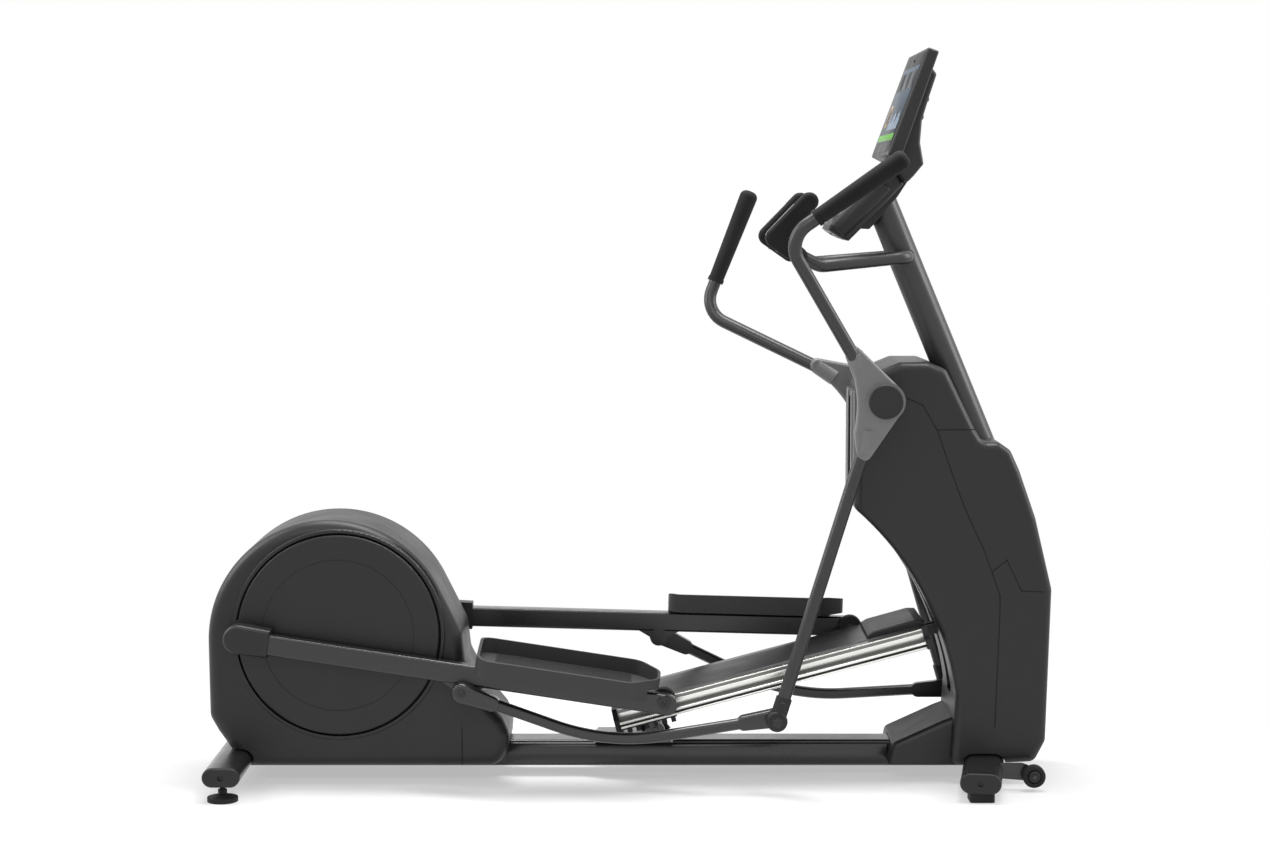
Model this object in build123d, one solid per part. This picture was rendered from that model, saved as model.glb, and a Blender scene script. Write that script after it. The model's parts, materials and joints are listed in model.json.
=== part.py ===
from build123d import *
import os
from math import atan2, cos, degrees, hypot, radians, sin, sqrt

# Elliptical trainer. Millimetres, +X to the console end, -Y the user's right, +Z up, floor at Z = 0.

# linkage
crank_x = -704.0
crank_z = 371.0
crank_radius = 233.0
disc_radius = 245.0
link_length = 1036.0
ramp_angle = 15.0
pivot_x = 67.0
pivot_z = 117.0
axle_rise = 89.5
hub_x = 609.0
hub_z = 949.0
arm_length = 808.0
lower_length = 759.5
joint_along = 550.0
joint_drop = 45.7

# sideways stations, measured from the middle plane
shell_half = 138.0
disc_face = 148.0
link_in = 160.0
link_out = 196.0
joint_y = 211.5
arm_y = 243.0
hood_half = 138.0
foot_half = 112.0
console_half = 202.0

# tubes and round parts
arm_tube = 32.0
low_tube = 28.0
bar_tube = 32.0
mast_tube = 76.0
grip_dia = 38.0
grip_end = 47.0
roller_radius = 28.0
link_height = 50.0
link_drop = 6.0
wheel_radius = 27.5
wall = 4.0
run_fit = 0.05
ramp_start = -75.0
ramp_length = 695.0
arc_radius = 740.0
stab_reach = 318.0
middle_shift = -3.0


def face_of(points):
    return make_face(Polyline(*points, close=True))


def slab(face, y_low, y_high):
    return extrude(Plane.XZ.offset(-y_high) * face, amount=y_high - y_low)


def rod(x, z, radius, y_low, y_high):
    return slab(Pos(x, z) * Circle(radius), y_low, y_high)


def block(x0, x1, y0, y1, z0, z1):
    return Pos((x0 + x1) / 2, (y0 + y1) / 2, (z0 + z1) / 2) * Box(x1 - x0, y1 - y0, z1 - z0)


def bar(start, end, radius):
    a = Vector(*start)
    b = Vector(*end)
    return extrude(Plane(origin=a, z_dir=b - a) * Circle(radius), amount=(b - a).length)


def soften(shape, edges, radius):
    """Round the edges, with a smaller radius where the full one does not fit."""
    for scale in (1.0, 0.75, 0.5, 0.3, 0.15):
        try:
            done = fillet(edges, radius * scale)
            if done.is_valid and done.volume > 0:
                return done
        except Exception:
            continue
    return shape


def round_corners(face, radius):
    """Round the corners of a flat outline one by one."""
    for corner in list(face.vertices()):
        spot = corner.center()
        for scale in (1.0, 0.6, 0.3, 0.1):
            near = face.vertices().sort_by(lambda v: (v.center() - spot).length)[0]
            try:
                face = fillet(near, radius * scale)
                break
            except Exception:
                continue
    return face


def turn(shape, x, z, angle):
    """Turn about a cross axis, counter-clockwise as seen from the user's right."""
    return Pos(x, 0, z) * Rot(0, -angle, 0) * Pos(-x, 0, -z) * shape


def mirrored(shape):
    return mirror(shape, about=Plane.XZ)


def heading(a, b):
    return degrees(atan2(b[1] - a[1], b[0] - a[0]))


def axle_of(pin):
    """Where the roller axle sits on the ramp when the foot link hangs on this crank pin."""
    ca = cos(radians(ramp_angle))
    sa = sin(radians(ramp_angle))
    bx = pivot_x - axle_rise * sa
    bz = pivot_z + axle_rise * ca
    dx = bx - pin[0]
    dz = bz - pin[1]
    half = dx * ca + dz * sa
    run = sqrt(half * half - dx * dx - dz * dz + link_length**2) - half
    return (bx + run * ca, bz + run * sa)


def joint_of(pin, axle):
    ux = (axle[0] - pin[0]) / link_length
    uz = (axle[1] - pin[1]) / link_length
    return (pin[0] + joint_along * ux + joint_drop * uz, pin[1] + joint_along * uz - joint_drop * ux)


def elbow_of(joint):
    dx = hub_x - joint[0]
    dz = hub_z - joint[1]
    gap = hypot(dx, dz)
    along = (lower_length**2 - arm_length**2 + gap * gap) / (2 * gap)
    off = sqrt(max(lower_length**2 - along**2, 1.0))
    return (joint[0] + (along * dx + off * dz) / gap, joint[1] + (along * dz - off * dx) / gap)


pin_r = (crank_x - crank_radius, crank_z)
pin_l = (crank_x + crank_radius, crank_z)
axle_r = axle_of(pin_r)
axle_l = axle_of(pin_l)
joint_r = joint_of(pin_r, axle_r)
joint_l = joint_of(pin_l, axle_l)
elbow_r = elbow_of(joint_r)
elbow_l = elbow_of(joint_l)
link_tilt = heading(pin_r, axle_r)
link_turn = heading(pin_l, axle_l) - link_tilt
arm_turn = heading((hub_x, hub_z), elbow_l) - heading((hub_x, hub_z), elbow_r)
low_turn = heading(joint_l, elbow_l) - heading(joint_r, elbow_r)


def left_link(shape):
    """The left copy of a piece that rides on the right foot link."""
    moved = turn(mirrored(shape), axle_r[0], axle_r[1], link_turn)
    return Pos(axle_l[0] - axle_r[0], 0, axle_l[1] - axle_r[1]) * moved


def left_axle(shape):
    return Pos(axle_l[0] - axle_r[0], 0, axle_l[1] - axle_r[1]) * mirrored(shape)


def left_arm(shape):
    return turn(mirrored(shape), hub_x, hub_z, arm_turn)


def left_low(shape):
    moved = turn(mirrored(shape), elbow_r[0], elbow_r[1], low_turn)
    return Pos(elbow_l[0] - elbow_r[0], 0, elbow_l[1] - elbow_r[1]) * moved


# frame

rail_low = 23.0
rail_top = 89.0
rear_x = -964.0
rear_z = 61.0
front_z = 47.0
front_mid = 893.0
leg_sweep = 10.0


def obround_bar(start, end, width, height):
    a = Vector(*start)
    b = Vector(*end)
    plane = Plane(origin=a, x_dir=Vector(0, 0, 1).cross(b - a), z_dir=b - a)
    return extrude(plane * SlotOverall(width, height), amount=(b - a).length)


def rear_bar(width, height, reach):
    return obround_bar((rear_x, reach, rear_z), (rear_x, -reach, rear_z), width, height)


def make_rear_stabiliser():
    tube = rear_bar(90, 46, stab_reach) - rear_bar(83, 39, stab_reach + 1)
    for y in (-300, 300):
        tube += Pos(rear_x, y, rear_z - 17) * Cylinder(11, 12)
        tube -= Pos(rear_x, y, rear_z - 20) * Cylinder(6 + run_fit, 50)
    return tube


def front_leg(width, height, y0, y1):
    slope = sin(radians(leg_sweep)) / cos(radians(leg_sweep))
    start = (front_mid + y0 * slope, y0, front_z)
    end = (front_mid + y1 * slope, y1, front_z)
    return obround_bar(start, end, width, height)


def front_bar(width, height, grow):
    leg = front_leg(width, height, 60, -stab_reach - grow)
    leg -= block(front_mid - 300, front_mid + 300, 0, 200, 0, 200)
    return leg + mirrored(leg)


def wheel_plate():
    plate = face_of([(880, 30), (955, 24), (997, 24), (997, 50), (955, 66), (880, 66)])
    plate = slab(round_corners(plate, 10), -193, -188)
    plate += rod(wheel_x, wheel_z, 5, -222, -188)
    return plate


wheel_x = 981.0
wheel_z = 37.0


def make_front_stabiliser():
    bar_in = front_bar(91, 43, 1)
    tube = front_bar(98, 50, 0)
    plates = wheel_plate() - tube
    tube -= bar_in
    tube += plates
    tube += mirrored(plates)
    return tube


def make_end_caps():
    rear = rear_bar(90, 46, stab_reach + 12) - rear_bar(200, 200, stab_reach)
    rear = soften(rear, rear.faces().sort_by(Axis.Y)[0].edges(), 5)
    rear = rear - Pos(rear_x, -stab_reach - 12, rear_z) * Rot(90, 0, 0) * Cylinder(7, 10)
    rear = rear.solids().sort_by(Axis.Y)[0]
    front = front_leg(98, 50, -stab_reach, -stab_reach - 12)
    front = soften(front, front.faces().sort_by(Axis.Y)[0].edges(), 5)
    front = front - front_leg(14, 13.9, -stab_reach - 7, -stab_reach - 30)
    return Compound([rear, mirrored(rear), front.solids()[0], mirrored(front.solids()[0])])


def make_base_rail():
    """Box rail with the welded saddle that carries the ramp's pivot."""
    rail = block(rear_x, front_mid, -40, 40, rail_low, rail_top)
    rail = soften(rail, rail.edges().filter_by(Axis.X), 9)
    bore = block(rear_x - 1, front_mid + 1, -36, 36, rail_low + wall, rail_top - wall)
    rail = rail - bore - rear_bar(90, 46, 300) - front_bar(98, 50, 0)
    rail = main_solid(rail)
    seat = rail_top + 8
    plate = face_of([(-76, seat), (103, seat), (110, rail_top), (-83, rail_top)])
    rail += slab(plate, -72, 72)
    lug = Pos(pivot_x, pivot_z) * Circle(24) + face_of(
        [(pivot_x - 40, seat), (pivot_x + 40, seat), (pivot_x + 23, pivot_z), (pivot_x - 23, pivot_z)]
    )
    rail += slab(lug, 60, 70)
    rail += slab(lug, -70, -60)
    rail += rod(pivot_x, pivot_z, 10, -74, 74)
    return rail


def make_front_feet():
    slope = sin(radians(leg_sweep)) / cos(radians(leg_sweep))
    x = front_mid - 292 * slope
    pad = block(x - 29.5, x + 29.5, -322, -262, 0, 30)
    pad = soften(pad, pad.edges().filter_by(Axis.Z), 8)
    pad -= front_bar(98, 50, 12)
    pad = pad.solids().sort_by(Axis.Z)[0]
    return Compound([pad, mirrored(pad)])


def make_levelling_foot():
    foot = Pos(rear_x, -300, 5) * Cylinder(36.5, 10)
    foot += Pos(rear_x, -300, 13) * Cone(30, 16, 6)
    foot += Pos(rear_x, -300, 20) * extrude(RegularPolygon(11, 6), amount=9)
    foot += Pos(rear_x, -300, 38) * Cylinder(6, 50)
    return foot


def make_wheel():
    tyre = rod(wheel_x, wheel_z, wheel_radius, -216, -194)
    tyre = soften(tyre, tyre.edges().filter_by(GeomType.CIRCLE), 4)
    tyre -= rod(wheel_x, wheel_z, 17, -217, -211)
    tyre -= rod(wheel_x, wheel_z, 5 + run_fit, -217, -193)
    return tyre


# drive

drum_x = -728.0
drum_z = 352.0
drum_radius = 297.0
skirt_z = 43.0
drive_edge = 30.0
fly_x = -470.0
fly_z = 205.0


def drive_outline(inset):
    """Side view of the drive housing: the drum on its low body, with its corners rounded."""
    drum = Pos(drum_x, drum_z) * Circle(drum_radius)
    low = face_of([
        (drum_x - drum_radius, drum_z), (drum_x - drum_radius + 2, drum_z - 186),
        (drum_x - drum_radius + 22, drum_z - 222), (drum_x - 228, skirt_z + 20), (drum_x - 190, skirt_z),
        (drum_x + 410, skirt_z), (drum_x + 434, skirt_z + 36), (drum_x + 437, skirt_z + 80),
        (drum_x + 422, skirt_z + 116), (drum_x + 376, skirt_z + 172), (drum_x + 330, drum_z - 52),
        (drum_x + 322, drum_z + 20), (drum_x + 270, drum_z + 124), (drum_x, drum_z),
    ])
    outline = round_corners(drum + low, drive_edge + 10)
    return offset(outline, -inset) if inset else outline


def make_drive_body():
    outer = slab(drive_outline(0), -shell_half, shell_half)
    outer = soften(outer, outer.faces().filter_by(Axis.Y).edges(), drive_edge)
    inner = slab(drive_outline(wall), -shell_half + wall, shell_half - wall)
    inner = soften(inner, inner.faces().filter_by(Axis.Y).edges(), drive_edge - wall)
    return outer - inner


def make_drive_shells():
    """Right and left shell with the round disc openings, and the rear cover behind its seam."""
    body = make_drive_body()
    rim = rod(crank_x, crank_z, disc_radius + 14, -shell_half - 6, -110)
    rim = soften(rim, rim.faces().sort_by(Axis.Y)[0].edges(), 4)
    body += rim
    body += mirrored(rim)
    body -= rod(crank_x, crank_z, disc_radius + 5, -200, 200)
    body -= block(rear_x, 300, -44, 44, 0, rail_top + 3)
    body -= rear_bar(96, 52, 400)
    seam_cut = seam([(crank_x + 299, skirt_z - 5), (crank_x + 299, skirt_z + 112)], 1.5, shell_half)
    body -= seam_cut
    body -= mirrored(seam_cut)
    rear = slab(face_of([
        (crank_x - 162, crank_z + 500), (crank_x - 162, crank_z + 100), (crank_x - 215, crank_z - 180),
        (crank_x - 270, skirt_z - 20), (crank_x - 600, skirt_z - 20), (crank_x - 600, crank_z + 500),
    ]), -300, 300)
    rear -= rod(crank_x, crank_z, disc_radius + 16, -300, 300)
    cover = body & rear
    shell = body - rear
    left = main_solid(shell & block(-1300, 0, 0, 300, 0, 900))
    return mirrored(left), left, main_solid(cover)


def seam(points, depth, half):
    """A shallow groove along a line on the right-hand side face, which lies half from the middle."""
    cut = None
    for a, b in zip(points, points[1:]):
        run = hypot(b[0] - a[0], b[1] - a[1])
        ux = 1.3 * (b[0] - a[0]) / run
        uz = 1.3 * (b[1] - a[1]) / run
        piece = face_of([
            (a[0] - ux - uz, a[1] - uz + ux), (a[0] - ux + uz, a[1] - uz - ux),
            (b[0] + ux + uz, b[1] + uz - ux), (b[0] + ux - uz, b[1] + uz + ux),
        ])
        cut = piece if cut is None else cut + piece
    return slab(cut, -half - 1, -half + depth)


def main_solid(shape):
    return shape.solids().sort_by(SortBy.VOLUME)[-1]


def make_drive_bracket():
    """Two bearing plates on a foot that is welded to the base rail."""
    left_end = crank_x - 70
    right_end = fly_x + 40
    side = make_hull(
        (Pos(crank_x, crank_z) * Circle(48)).edges()
        + (Pos(fly_x, fly_z) * Circle(34)).edges()
        + face_of([(left_end, rail_top), (right_end, rail_top), (right_end, rail_top + 9),
                   (left_end, rail_top + 9)]).edges()
    )
    plate = slab(side, -82, -72)
    plate += mirrored(plate)
    plate += block(left_end, right_end, -82, 82, rail_top, rail_top + 8)
    plate -= rod(crank_x, crank_z, 17.5 + run_fit, -100, 100)
    plate -= rod(fly_x, fly_z, 8.5 + run_fit, -100, 100)
    return plate


def make_belt():
    big = Pos(crank_x, crank_z)
    small = Pos(fly_x, fly_z)
    outer = make_hull((big * Circle(154.4)).edges() + (small * Circle(28.4)).edges())
    inner = make_hull((big * Circle(150.4)).edges() + (small * Circle(24.4)).edges())
    return slab(outer - inner, 32, 48)


def make_crankshaft():
    shaft = rod(crank_x, crank_z, 17.5, -132, 132)
    shaft += rod(crank_x, crank_z, 24, -71.5, -60) + rod(crank_x, crank_z, 24, 60, 71.5)
    return shaft


def make_pulley():
    wheel = rod(crank_x, crank_z, 150, 30, 50)
    wheel -= rod(crank_x, crank_z, 132, 44, 51) + rod(crank_x, crank_z, 132, 29, 36)
    wheel += rod(crank_x, crank_z, 40, 28, 52)
    for i in range(6):
        wheel -= turn(rod(crank_x + 86, crank_z, 24, 20, 60), crank_x, crank_z, 60 * i)
    return wheel - rod(crank_x, crank_z, 17, 20, 60)


def make_discs():
    disc = rod(crank_x, crank_z, disc_radius, -disc_face, -132)
    disc = soften(disc, disc.faces().sort_by(Axis.Y)[0].edges(), 5)
    disc -= rod(crank_x, crank_z, 186, -disc_face - 1, -disc_face + 1.5) - rod(
        crank_x, crank_z, 183, -disc_face - 2, -disc_face + 3
    )
    right = disc + rod(pin_r[0], pin_r[1], 40, -disc_face - 8, -disc_face + 4)
    left = mirrored(disc + rod(pin_l[0], pin_l[1], 40, -disc_face - 8, -disc_face + 4))
    return Compound([main_solid(right), main_solid(left)])


def make_flywheel():
    wheel = rod(fly_x, fly_z, 95, -60, -16)
    wheel -= rod(fly_x, fly_z, 80, -61, -50) + rod(fly_x, fly_z, 80, -26, -15)
    wheel += rod(fly_x, fly_z, 30, -60, -16)
    wheel += rod(fly_x, fly_z, 24, 30, 50)
    wheel += rod(fly_x, fly_z, 12, -71, 71)
    wheel += rod(fly_x, fly_z, 8.5, -84, 84)
    return wheel


# ramp, drawn along its own length (d) and height (n) from the pivot, then tilted


def on_ramp(shape):
    return turn(Pos(pivot_x, 0, pivot_z) * shape, pivot_x, pivot_z, ramp_angle)


def section(points, start, end):
    """A section given as (y, n) drawn out along the ramp."""
    face = make_face(Polyline(*points, close=True))
    return extrude(Plane(origin=(start, 0, 0), x_dir=(0, 1, 0), z_dir=(1, 0, 0)) * face, amount=end - start)


def make_rails():
    """Wall, roller ledge and foot flange in one extrusion."""
    top = axle_rise - roller_radius - 0.3
    rail = section([
        (-131, 90), (-104, 90), (-104, 84), (-120, 84), (-120, 49), (-112, 49), (-112, 43.5), (-150, 43.5),
        (-150, 49), (-131, 49), (-131, top - 6), (-156, top - 6), (-156, top), (-131, top),
    ], ramp_start, ramp_length)
    rail = on_ramp(rail)
    return Compound([rail, mirrored(rail)])


def make_ramp_frame():
    """Box beam with cross plates to the rails, pivot tube at the rear and the lift fork at the front."""
    end = ramp_length - 10
    beam = section([(-58, 42), (58, 42), (58, 80), (-58, 80)], -16, end)
    beam -= section([(-52, 48), (52, 48), (52, 74), (-52, 74)], -20, end + 10)
    for d in (20, 380):
        beam += block(d, d + 30, -120, 120, 50, 72)
        beam -= block(d - 1, d + 31, -52, 52, 48, 74)
    beam += block(end - 22, end - 4, -120, 120, 50, 72)
    for y in (-58, 48):
        beam += block(-16, 16, y, y + 10, 0, 45)
    beam += rod(0, 0, 18, -58, 58)
    beam -= rod(0, 0, 10 + run_fit, -80, 80)
    tip = nut_along + 16
    fork = face_of([(end - 16, 50), (end - 16, 72), (tip - 62, 72), (tip, 66), (tip, 26), (tip - 32, 22),
                    (tip - 72, 50)])
    beam += slab(fork, -26, -10)
    beam += slab(fork, 10, 26)
    return on_ramp(beam)


def make_ramp_cover():
    cover = section([(-103.5, 74), (103.5, 74), (103.5, 85), (96, 92), (-96, 92), (-103.5, 85)],
                    ramp_start, ramp_length)
    cover -= section([(-98, 73), (98, 73), (98, 83), (92, 87), (-92, 87), (-98, 83)],
                     ramp_start - 10, ramp_length + 10)
    return on_ramp(cover)


def make_ramp_caps():
    """Rear end plates with the ribbed foot, front end caps and the front block."""
    rear = section(
        [(-152, 39.5), (-100, 39.5), (-100, 92), (-134, 92), (-152, 66)], ramp_start - 12, ramp_start
    )
    rear += block(ramp_start - 12, ramp_start + 140, -148, -116, 39.5, 43.5)
    for i in range(7):
        rib = ramp_start - 8 + 22 * i
        rear += block(rib, rib + 11, -148, -116, 28, 41)
    front = section([(-158, 42), (-100, 42), (-100, 92), (-134, 92), (-134, 66), (-158, 66)],
                    ramp_length, ramp_length + 13)
    root = ramp_length - 137
    top = face_of([(root, 92), (root + 7, 102), (root + 24, 107), (root + 128, 108), (root + 146, 103),
                   (root + 154, 92)])
    top = slab(top, -94, 94)
    top = soften(top, top.edges().filter_by(lambda e: abs(e.center().Y) < 93 or e.center().Z > 93), 5)
    parts = [on_ramp(rear), on_ramp(mirrored(rear)), on_ramp(front), on_ramp(mirrored(front)), on_ramp(top)]
    return Compound([p.solids()[0] for p in parts])


# lift

nut_along = arc_radius + 46.0
nut_rise = 40.0
lift_span = 25.0


def nut_at(angle):
    """The lift nut's place when the ramp is raised by this angle."""
    reach = hypot(nut_along, nut_rise)
    dip = radians(ramp_angle + angle) + atan2(nut_rise, nut_along)
    return (pivot_x + reach * cos(dip), pivot_z + reach * sin(dip))


def lift_point(run):
    """A point of the lift screw's axis, measured up from the nut's lowest place."""
    low = nut_at(0)
    top = nut_at(lift_span)
    way = hypot(top[0] - low[0], top[1] - low[1])
    return (low[0] + (top[0] - low[0]) * run / way, 0, low[1] + (top[1] - low[1]) * run / way)


def make_lift_motor():
    low = lift_point(-175)
    motor = bar(low, lift_point(-110), 30)
    motor += block(low[0] - 52, low[0] + 14, -22, 22, rail_top, low[2] + 6)
    motor = soften(motor, motor.edges().filter_by(GeomType.CIRCLE), 4)
    return motor - bar(lift_point(-152), lift_point(-100), 9 + run_fit)


def make_lift_screw():
    travel = hypot(nut_at(lift_span)[0] - nut_at(0)[0], nut_at(lift_span)[1] - nut_at(0)[1])
    return bar(lift_point(-150), lift_point(travel + 25), 9)


# foot links, drawn along the link from the roller axle (s = 0, rear is negative), then tilted


def on_link(shape):
    return turn(Pos(axle_r[0], 0, axle_r[1]) * shape, axle_r[0], axle_r[1], link_tilt)


def make_foot_link():
    half = link_height / 2
    tube = link_bar()
    tube += rod(8, -link_drop, half, -link_out, -link_in)
    tube -= block(
        -link_length + 40, -60, -link_out + 3, -link_in - 3, 3 - half - link_drop, half - link_drop - 3
    )
    tube += rod(-link_length, 0, 15, -link_in, -disc_face - 8.4)
    tube -= rod(0, 0, 12 + run_fit, -300, 0)
    back = joint_along - link_length
    weld = -half - link_drop + 2
    lug = face_of([
        (back - 52, weld), (back + 52, weld), (back + 22, -joint_drop), (back - 22, -joint_drop)
    ])
    lug = lug + Pos(back, -joint_drop) * Circle(22)
    tube += slab(lug, -link_out, -link_in)
    tube += rod(back, -joint_drop, 14, -joint_y + 13, -link_out)
    return on_link(tube)


def link_bar():
    half = link_height / 2
    core = block(-link_length - 10, 8, -link_out, -link_in, -half - link_drop, half - link_drop)
    return soften(core, core.edges().filter_by(Axis.X), 6)


def make_boot():
    """Moulded boot over the link's rear end and the crank pin."""
    rear = -link_length - 3
    outline = Pos(rear, -3) * Circle(boot_radius) + face_of([
        (rear, -3 - boot_radius), (rear + 76, -1 - boot_radius),
        (rear + 76, boot_radius - 5), (rear, boot_radius - 3)
    ])
    boot = slab(outline, -link_out - 6, -disc_face - 8.6)
    boot = soften(boot, boot.faces().sort_by(Axis.Y)[0].edges(), 10)
    boot -= link_bar() + rod(-link_length, 0, 15, -link_in, -disc_face - 8.4)
    return on_link(boot)


boot_radius = 36.0
pedal_heel = -463.0
pedal_toe = -18.0
pedal_in = 95.0
pedal_out = 262.0


def pedal_plan(inset):
    mid = -(pedal_in + pedal_out) / 2
    pts = [
        (pedal_heel + inset, -pedal_in - inset), (pedal_toe - 60, -pedal_in - inset),
        (pedal_toe - inset, mid + 25), (pedal_toe - inset, mid - 30), (pedal_toe - 70, -pedal_out + inset),
        (pedal_heel + 20, -pedal_out + inset), (pedal_heel + inset, -pedal_out + 26 + inset),
    ]
    return round_corners(make_face(Polyline(*pts, close=True)), 34 - inset)


def rise(face, low, high):
    return Pos(0, 0, low) * extrude(face, amount=high - low)


def make_pedal():
    """Tray that is deep at the inner side and runs out to a low outer lip over the skirt."""
    outer = pedal_plan(0)
    inner = pedal_plan(7)
    tray = rise(outer, 31, 78) - rise(inner, 40, 90)
    skirt = rise(outer, 5, 33) - rise(inner, 4, 34)
    clear = -joint_y - low_tube / 2 - 4
    tray += skirt & block(pedal_heel - 50, pedal_toe + 50, -pedal_out - 5, clear, -2, 34)
    lean = make_face(Polyline(
        (-pedal_out - 10, 46), (-pedal_in - 18, 76), (-pedal_in + 30, 76), (-pedal_in + 30, 120),
        (-pedal_out - 10, 120), close=True))
    across = Plane(origin=(pedal_heel - 50, 0, 0), x_dir=(0, 1, 0), z_dir=(1, 0, 0))
    tray -= extrude(across * lean, amount=700)
    for i in range(11):
        y = -pedal_in - 20 - 12.5 * i
        tray += block(pedal_heel + 45, pedal_toe - 68, y - 2.5, y + 2.5, 39, 42.5)
    tray += block(pedal_heel + 30, pedal_toe - 60, -link_out, -link_in, link_height / 2 - link_drop, 33)
    return on_link(main_solid(tray))


def make_roller():
    wheel = rod(*axle_r, roller_radius, -156, -133)
    wheel = soften(wheel, wheel.edges().filter_by(GeomType.CIRCLE), 3)
    return wheel - rod(*axle_r, 8 + run_fit, -200, -100)


def make_axle():
    return rod(*axle_r, 8, -link_out - 1, -132.4) + rod(*axle_r, 16, -link_out - 7, -link_out - 1)


def make_spacer():
    return rod(*axle_r, 13, -159.5, -156.5) - rod(*axle_r, 8 + run_fit, -200, -100)


def make_bush():
    return rod(*axle_r, 12, -link_out, -link_in) - rod(*axle_r, 8 + run_fit, -300, -100)


# arms

bush_radius = 20.0
socket_top = (534.0, 1062.0)
socket_low = (560.0, 826.0)
bend = (366.5, -337.0, 1333.0)
grip_tip = (641.0, -371.5, 1523.5)
grip_bare = 0.25
grip_root = tuple(b + grip_bare * (t - b) for b, t in zip(bend, grip_tip))


def spot(point, y):
    return (point[0], y, point[1])


def make_yoke():
    """The Y-shaped arm casting: hub, hollow back edge and the two tube sockets."""
    hub = Pos(hub_x, hub_z) * Circle(47)
    web = make_hull(
        hub.edges() + (Pos(*socket_top) * Circle(18)).edges() + (Pos(*socket_low) * Circle(18)).edges()
    )
    web -= Pos(hub_x - 72 - 300, hub_z - 10) * Circle(306)
    body = slab(web, -arm_y - 17, -arm_y + 17)
    body = soften(body, body.faces().filter_by(Axis.Y).edges(), 7)
    body += rod(hub_x, hub_z, 47, -arm_y - 19, -arm_y + 22)
    body += rod(hub_x, hub_z, 41, -arm_y - 27, -arm_y - 17)
    mid_top = tuple(0.55 * a + 0.45 * b for a, b in zip(socket_top, (hub_x - 30, hub_z)))
    mid_low = tuple(0.55 * a + 0.45 * b for a, b in zip(socket_low, (hub_x - 30, hub_z)))
    body += bar(spot(mid_top, -arm_y + 6), spot(socket_top, -arm_y), 21.5)
    body += bar(spot(mid_low, -arm_y), spot(socket_low, -arm_y), 20)
    body -= make_upper_tube() + make_lower_tube()
    body -= rod(hub_x, hub_z, bush_radius + run_fit, -arm_y - 17, 0)
    return main_solid(body)


def make_arm_bush():
    bush = rod(hub_x, hub_z, bush_radius, -arm_y - 16.6, -arm_y + 22)
    return bush - rod(hub_x, hub_z, 15 + run_fit, -arm_y - 30, 0)


def upper_path():
    tip = Vector(*grip_tip)
    root = Vector(*grip_root)
    end = tip - (tip - root).normalized() * 24
    start = tuple(0.8 * a + 0.2 * b for a, b in zip(socket_top, (hub_x - 30, hub_z)))
    return FilletPolyline(spot(start, -arm_y), bend, tuple(end), radius=66)


def make_upper_tube():
    path = upper_path()
    return sweep_along(path, arm_tube / 2)


def sweep_along(path, radius):
    return sweep(Plane(origin=path @ 0, z_dir=path % 0) * Circle(radius), path=path)


def make_lower_tube():
    start = tuple(0.8 * a + 0.2 * b for a, b in zip(socket_low, (hub_x - 30, hub_z)))
    away = hypot(socket_low[0] - elbow_r[0], socket_low[1] - elbow_r[1])
    end = tuple(e + (s - e) * 20 / away for e, s in zip(elbow_r, socket_low))
    return bar(spot(start, -arm_y), spot(end, -arm_y), arm_tube / 2)


def make_arm_tubes():
    path = upper_path()
    bore = sweep_along(path, arm_tube / 2 - 3)
    upper = make_upper_tube() - bore
    lower = make_lower_tube()
    ends = lower.faces().filter_by(GeomType.PLANE).sort_by(Axis.Z)
    lower -= bar(tuple(ends[0].center()), tuple(ends[-1].center()), arm_tube / 2 - 3)
    return main_solid(upper), main_solid(lower)


def make_elbow():
    barrel = rod(*elbow_r, 25, -arm_y - 20, -joint_y - 13.3)
    barrel = soften(barrel, barrel.faces().sort_by(Axis.Y)[0].edges(), 6)
    away = hypot(socket_low[0] - elbow_r[0], socket_low[1] - elbow_r[1])
    end = tuple(e + (s - e) * 58 / away for e, s in zip(elbow_r, socket_low))
    socket = bar(spot(elbow_r, -arm_y), spot(end, -arm_y), arm_tube / 2 + 3.5)
    barrel += socket & block(-2000, 2000, -arm_y - 30, -joint_y - 13.3, 0, 2000)
    barrel -= make_lower_tube()
    barrel -= rod(*elbow_r, 7 + run_fit, -arm_y - 12, 0)
    return main_solid(barrel)


def make_grip():
    """Foam grip that swells towards its tip."""
    root = Vector(*grip_root)
    tip = Vector(*grip_tip)
    line = (tip - root).normalized()
    grip = loft([Plane(origin=root, z_dir=line) * Circle(grip_dia / 2),
                 Plane(origin=tip, z_dir=line) * Circle(grip_end / 2)])
    grip = soften(grip, grip.faces().sort_by(lambda f: (f.center() - tip).length)[0].edges(), 16)
    grip += bar(tuple(root), tuple(root + line * 10), grip_dia / 2 + 2)
    return grip - make_upper_tube()


def make_elbow_pin():
    return rod(*elbow_r, 7, -arm_y - 11.6, -joint_y + 12)


bow = (-46.0, 116.0)


def make_lower_link():
    """Bowed tube between two forged eyes: the elbow's and the one under the foot link."""
    path = FilletPolyline(spot(joint_r, -joint_y), spot(bow, -joint_y), spot(elbow_r, -joint_y), radius=540)
    tube = sweep_along(path, low_tube / 2)
    tube = tube & block(-2000, 2000, -joint_y - 12.5, -joint_y + 11.5, 0, 2000)
    tube += forged_eye(elbow_r, path @ 0.9, 23, 18.5, -joint_y - 12.5)
    tube += forged_eye(joint_r, path @ 0.1, 24, 18.5, -joint_y - 17.5)
    tube -= rod(*elbow_r, 7 + run_fit, -arm_y - 30, 0)
    return main_solid(tube)


def forged_eye(centre, end, radius, neck, outer_y):
    """A rounded eye that tapers onto its tube."""
    shape = make_hull((Pos(*centre) * Circle(radius)).edges() + (Pos(end.X, end.Z) * Circle(neck)).edges())
    eye = slab(shape, outer_y, -joint_y + 11.5)
    return soften(eye, eye.faces().sort_by(Axis.Y)[0].edges(), 8)


# front

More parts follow.
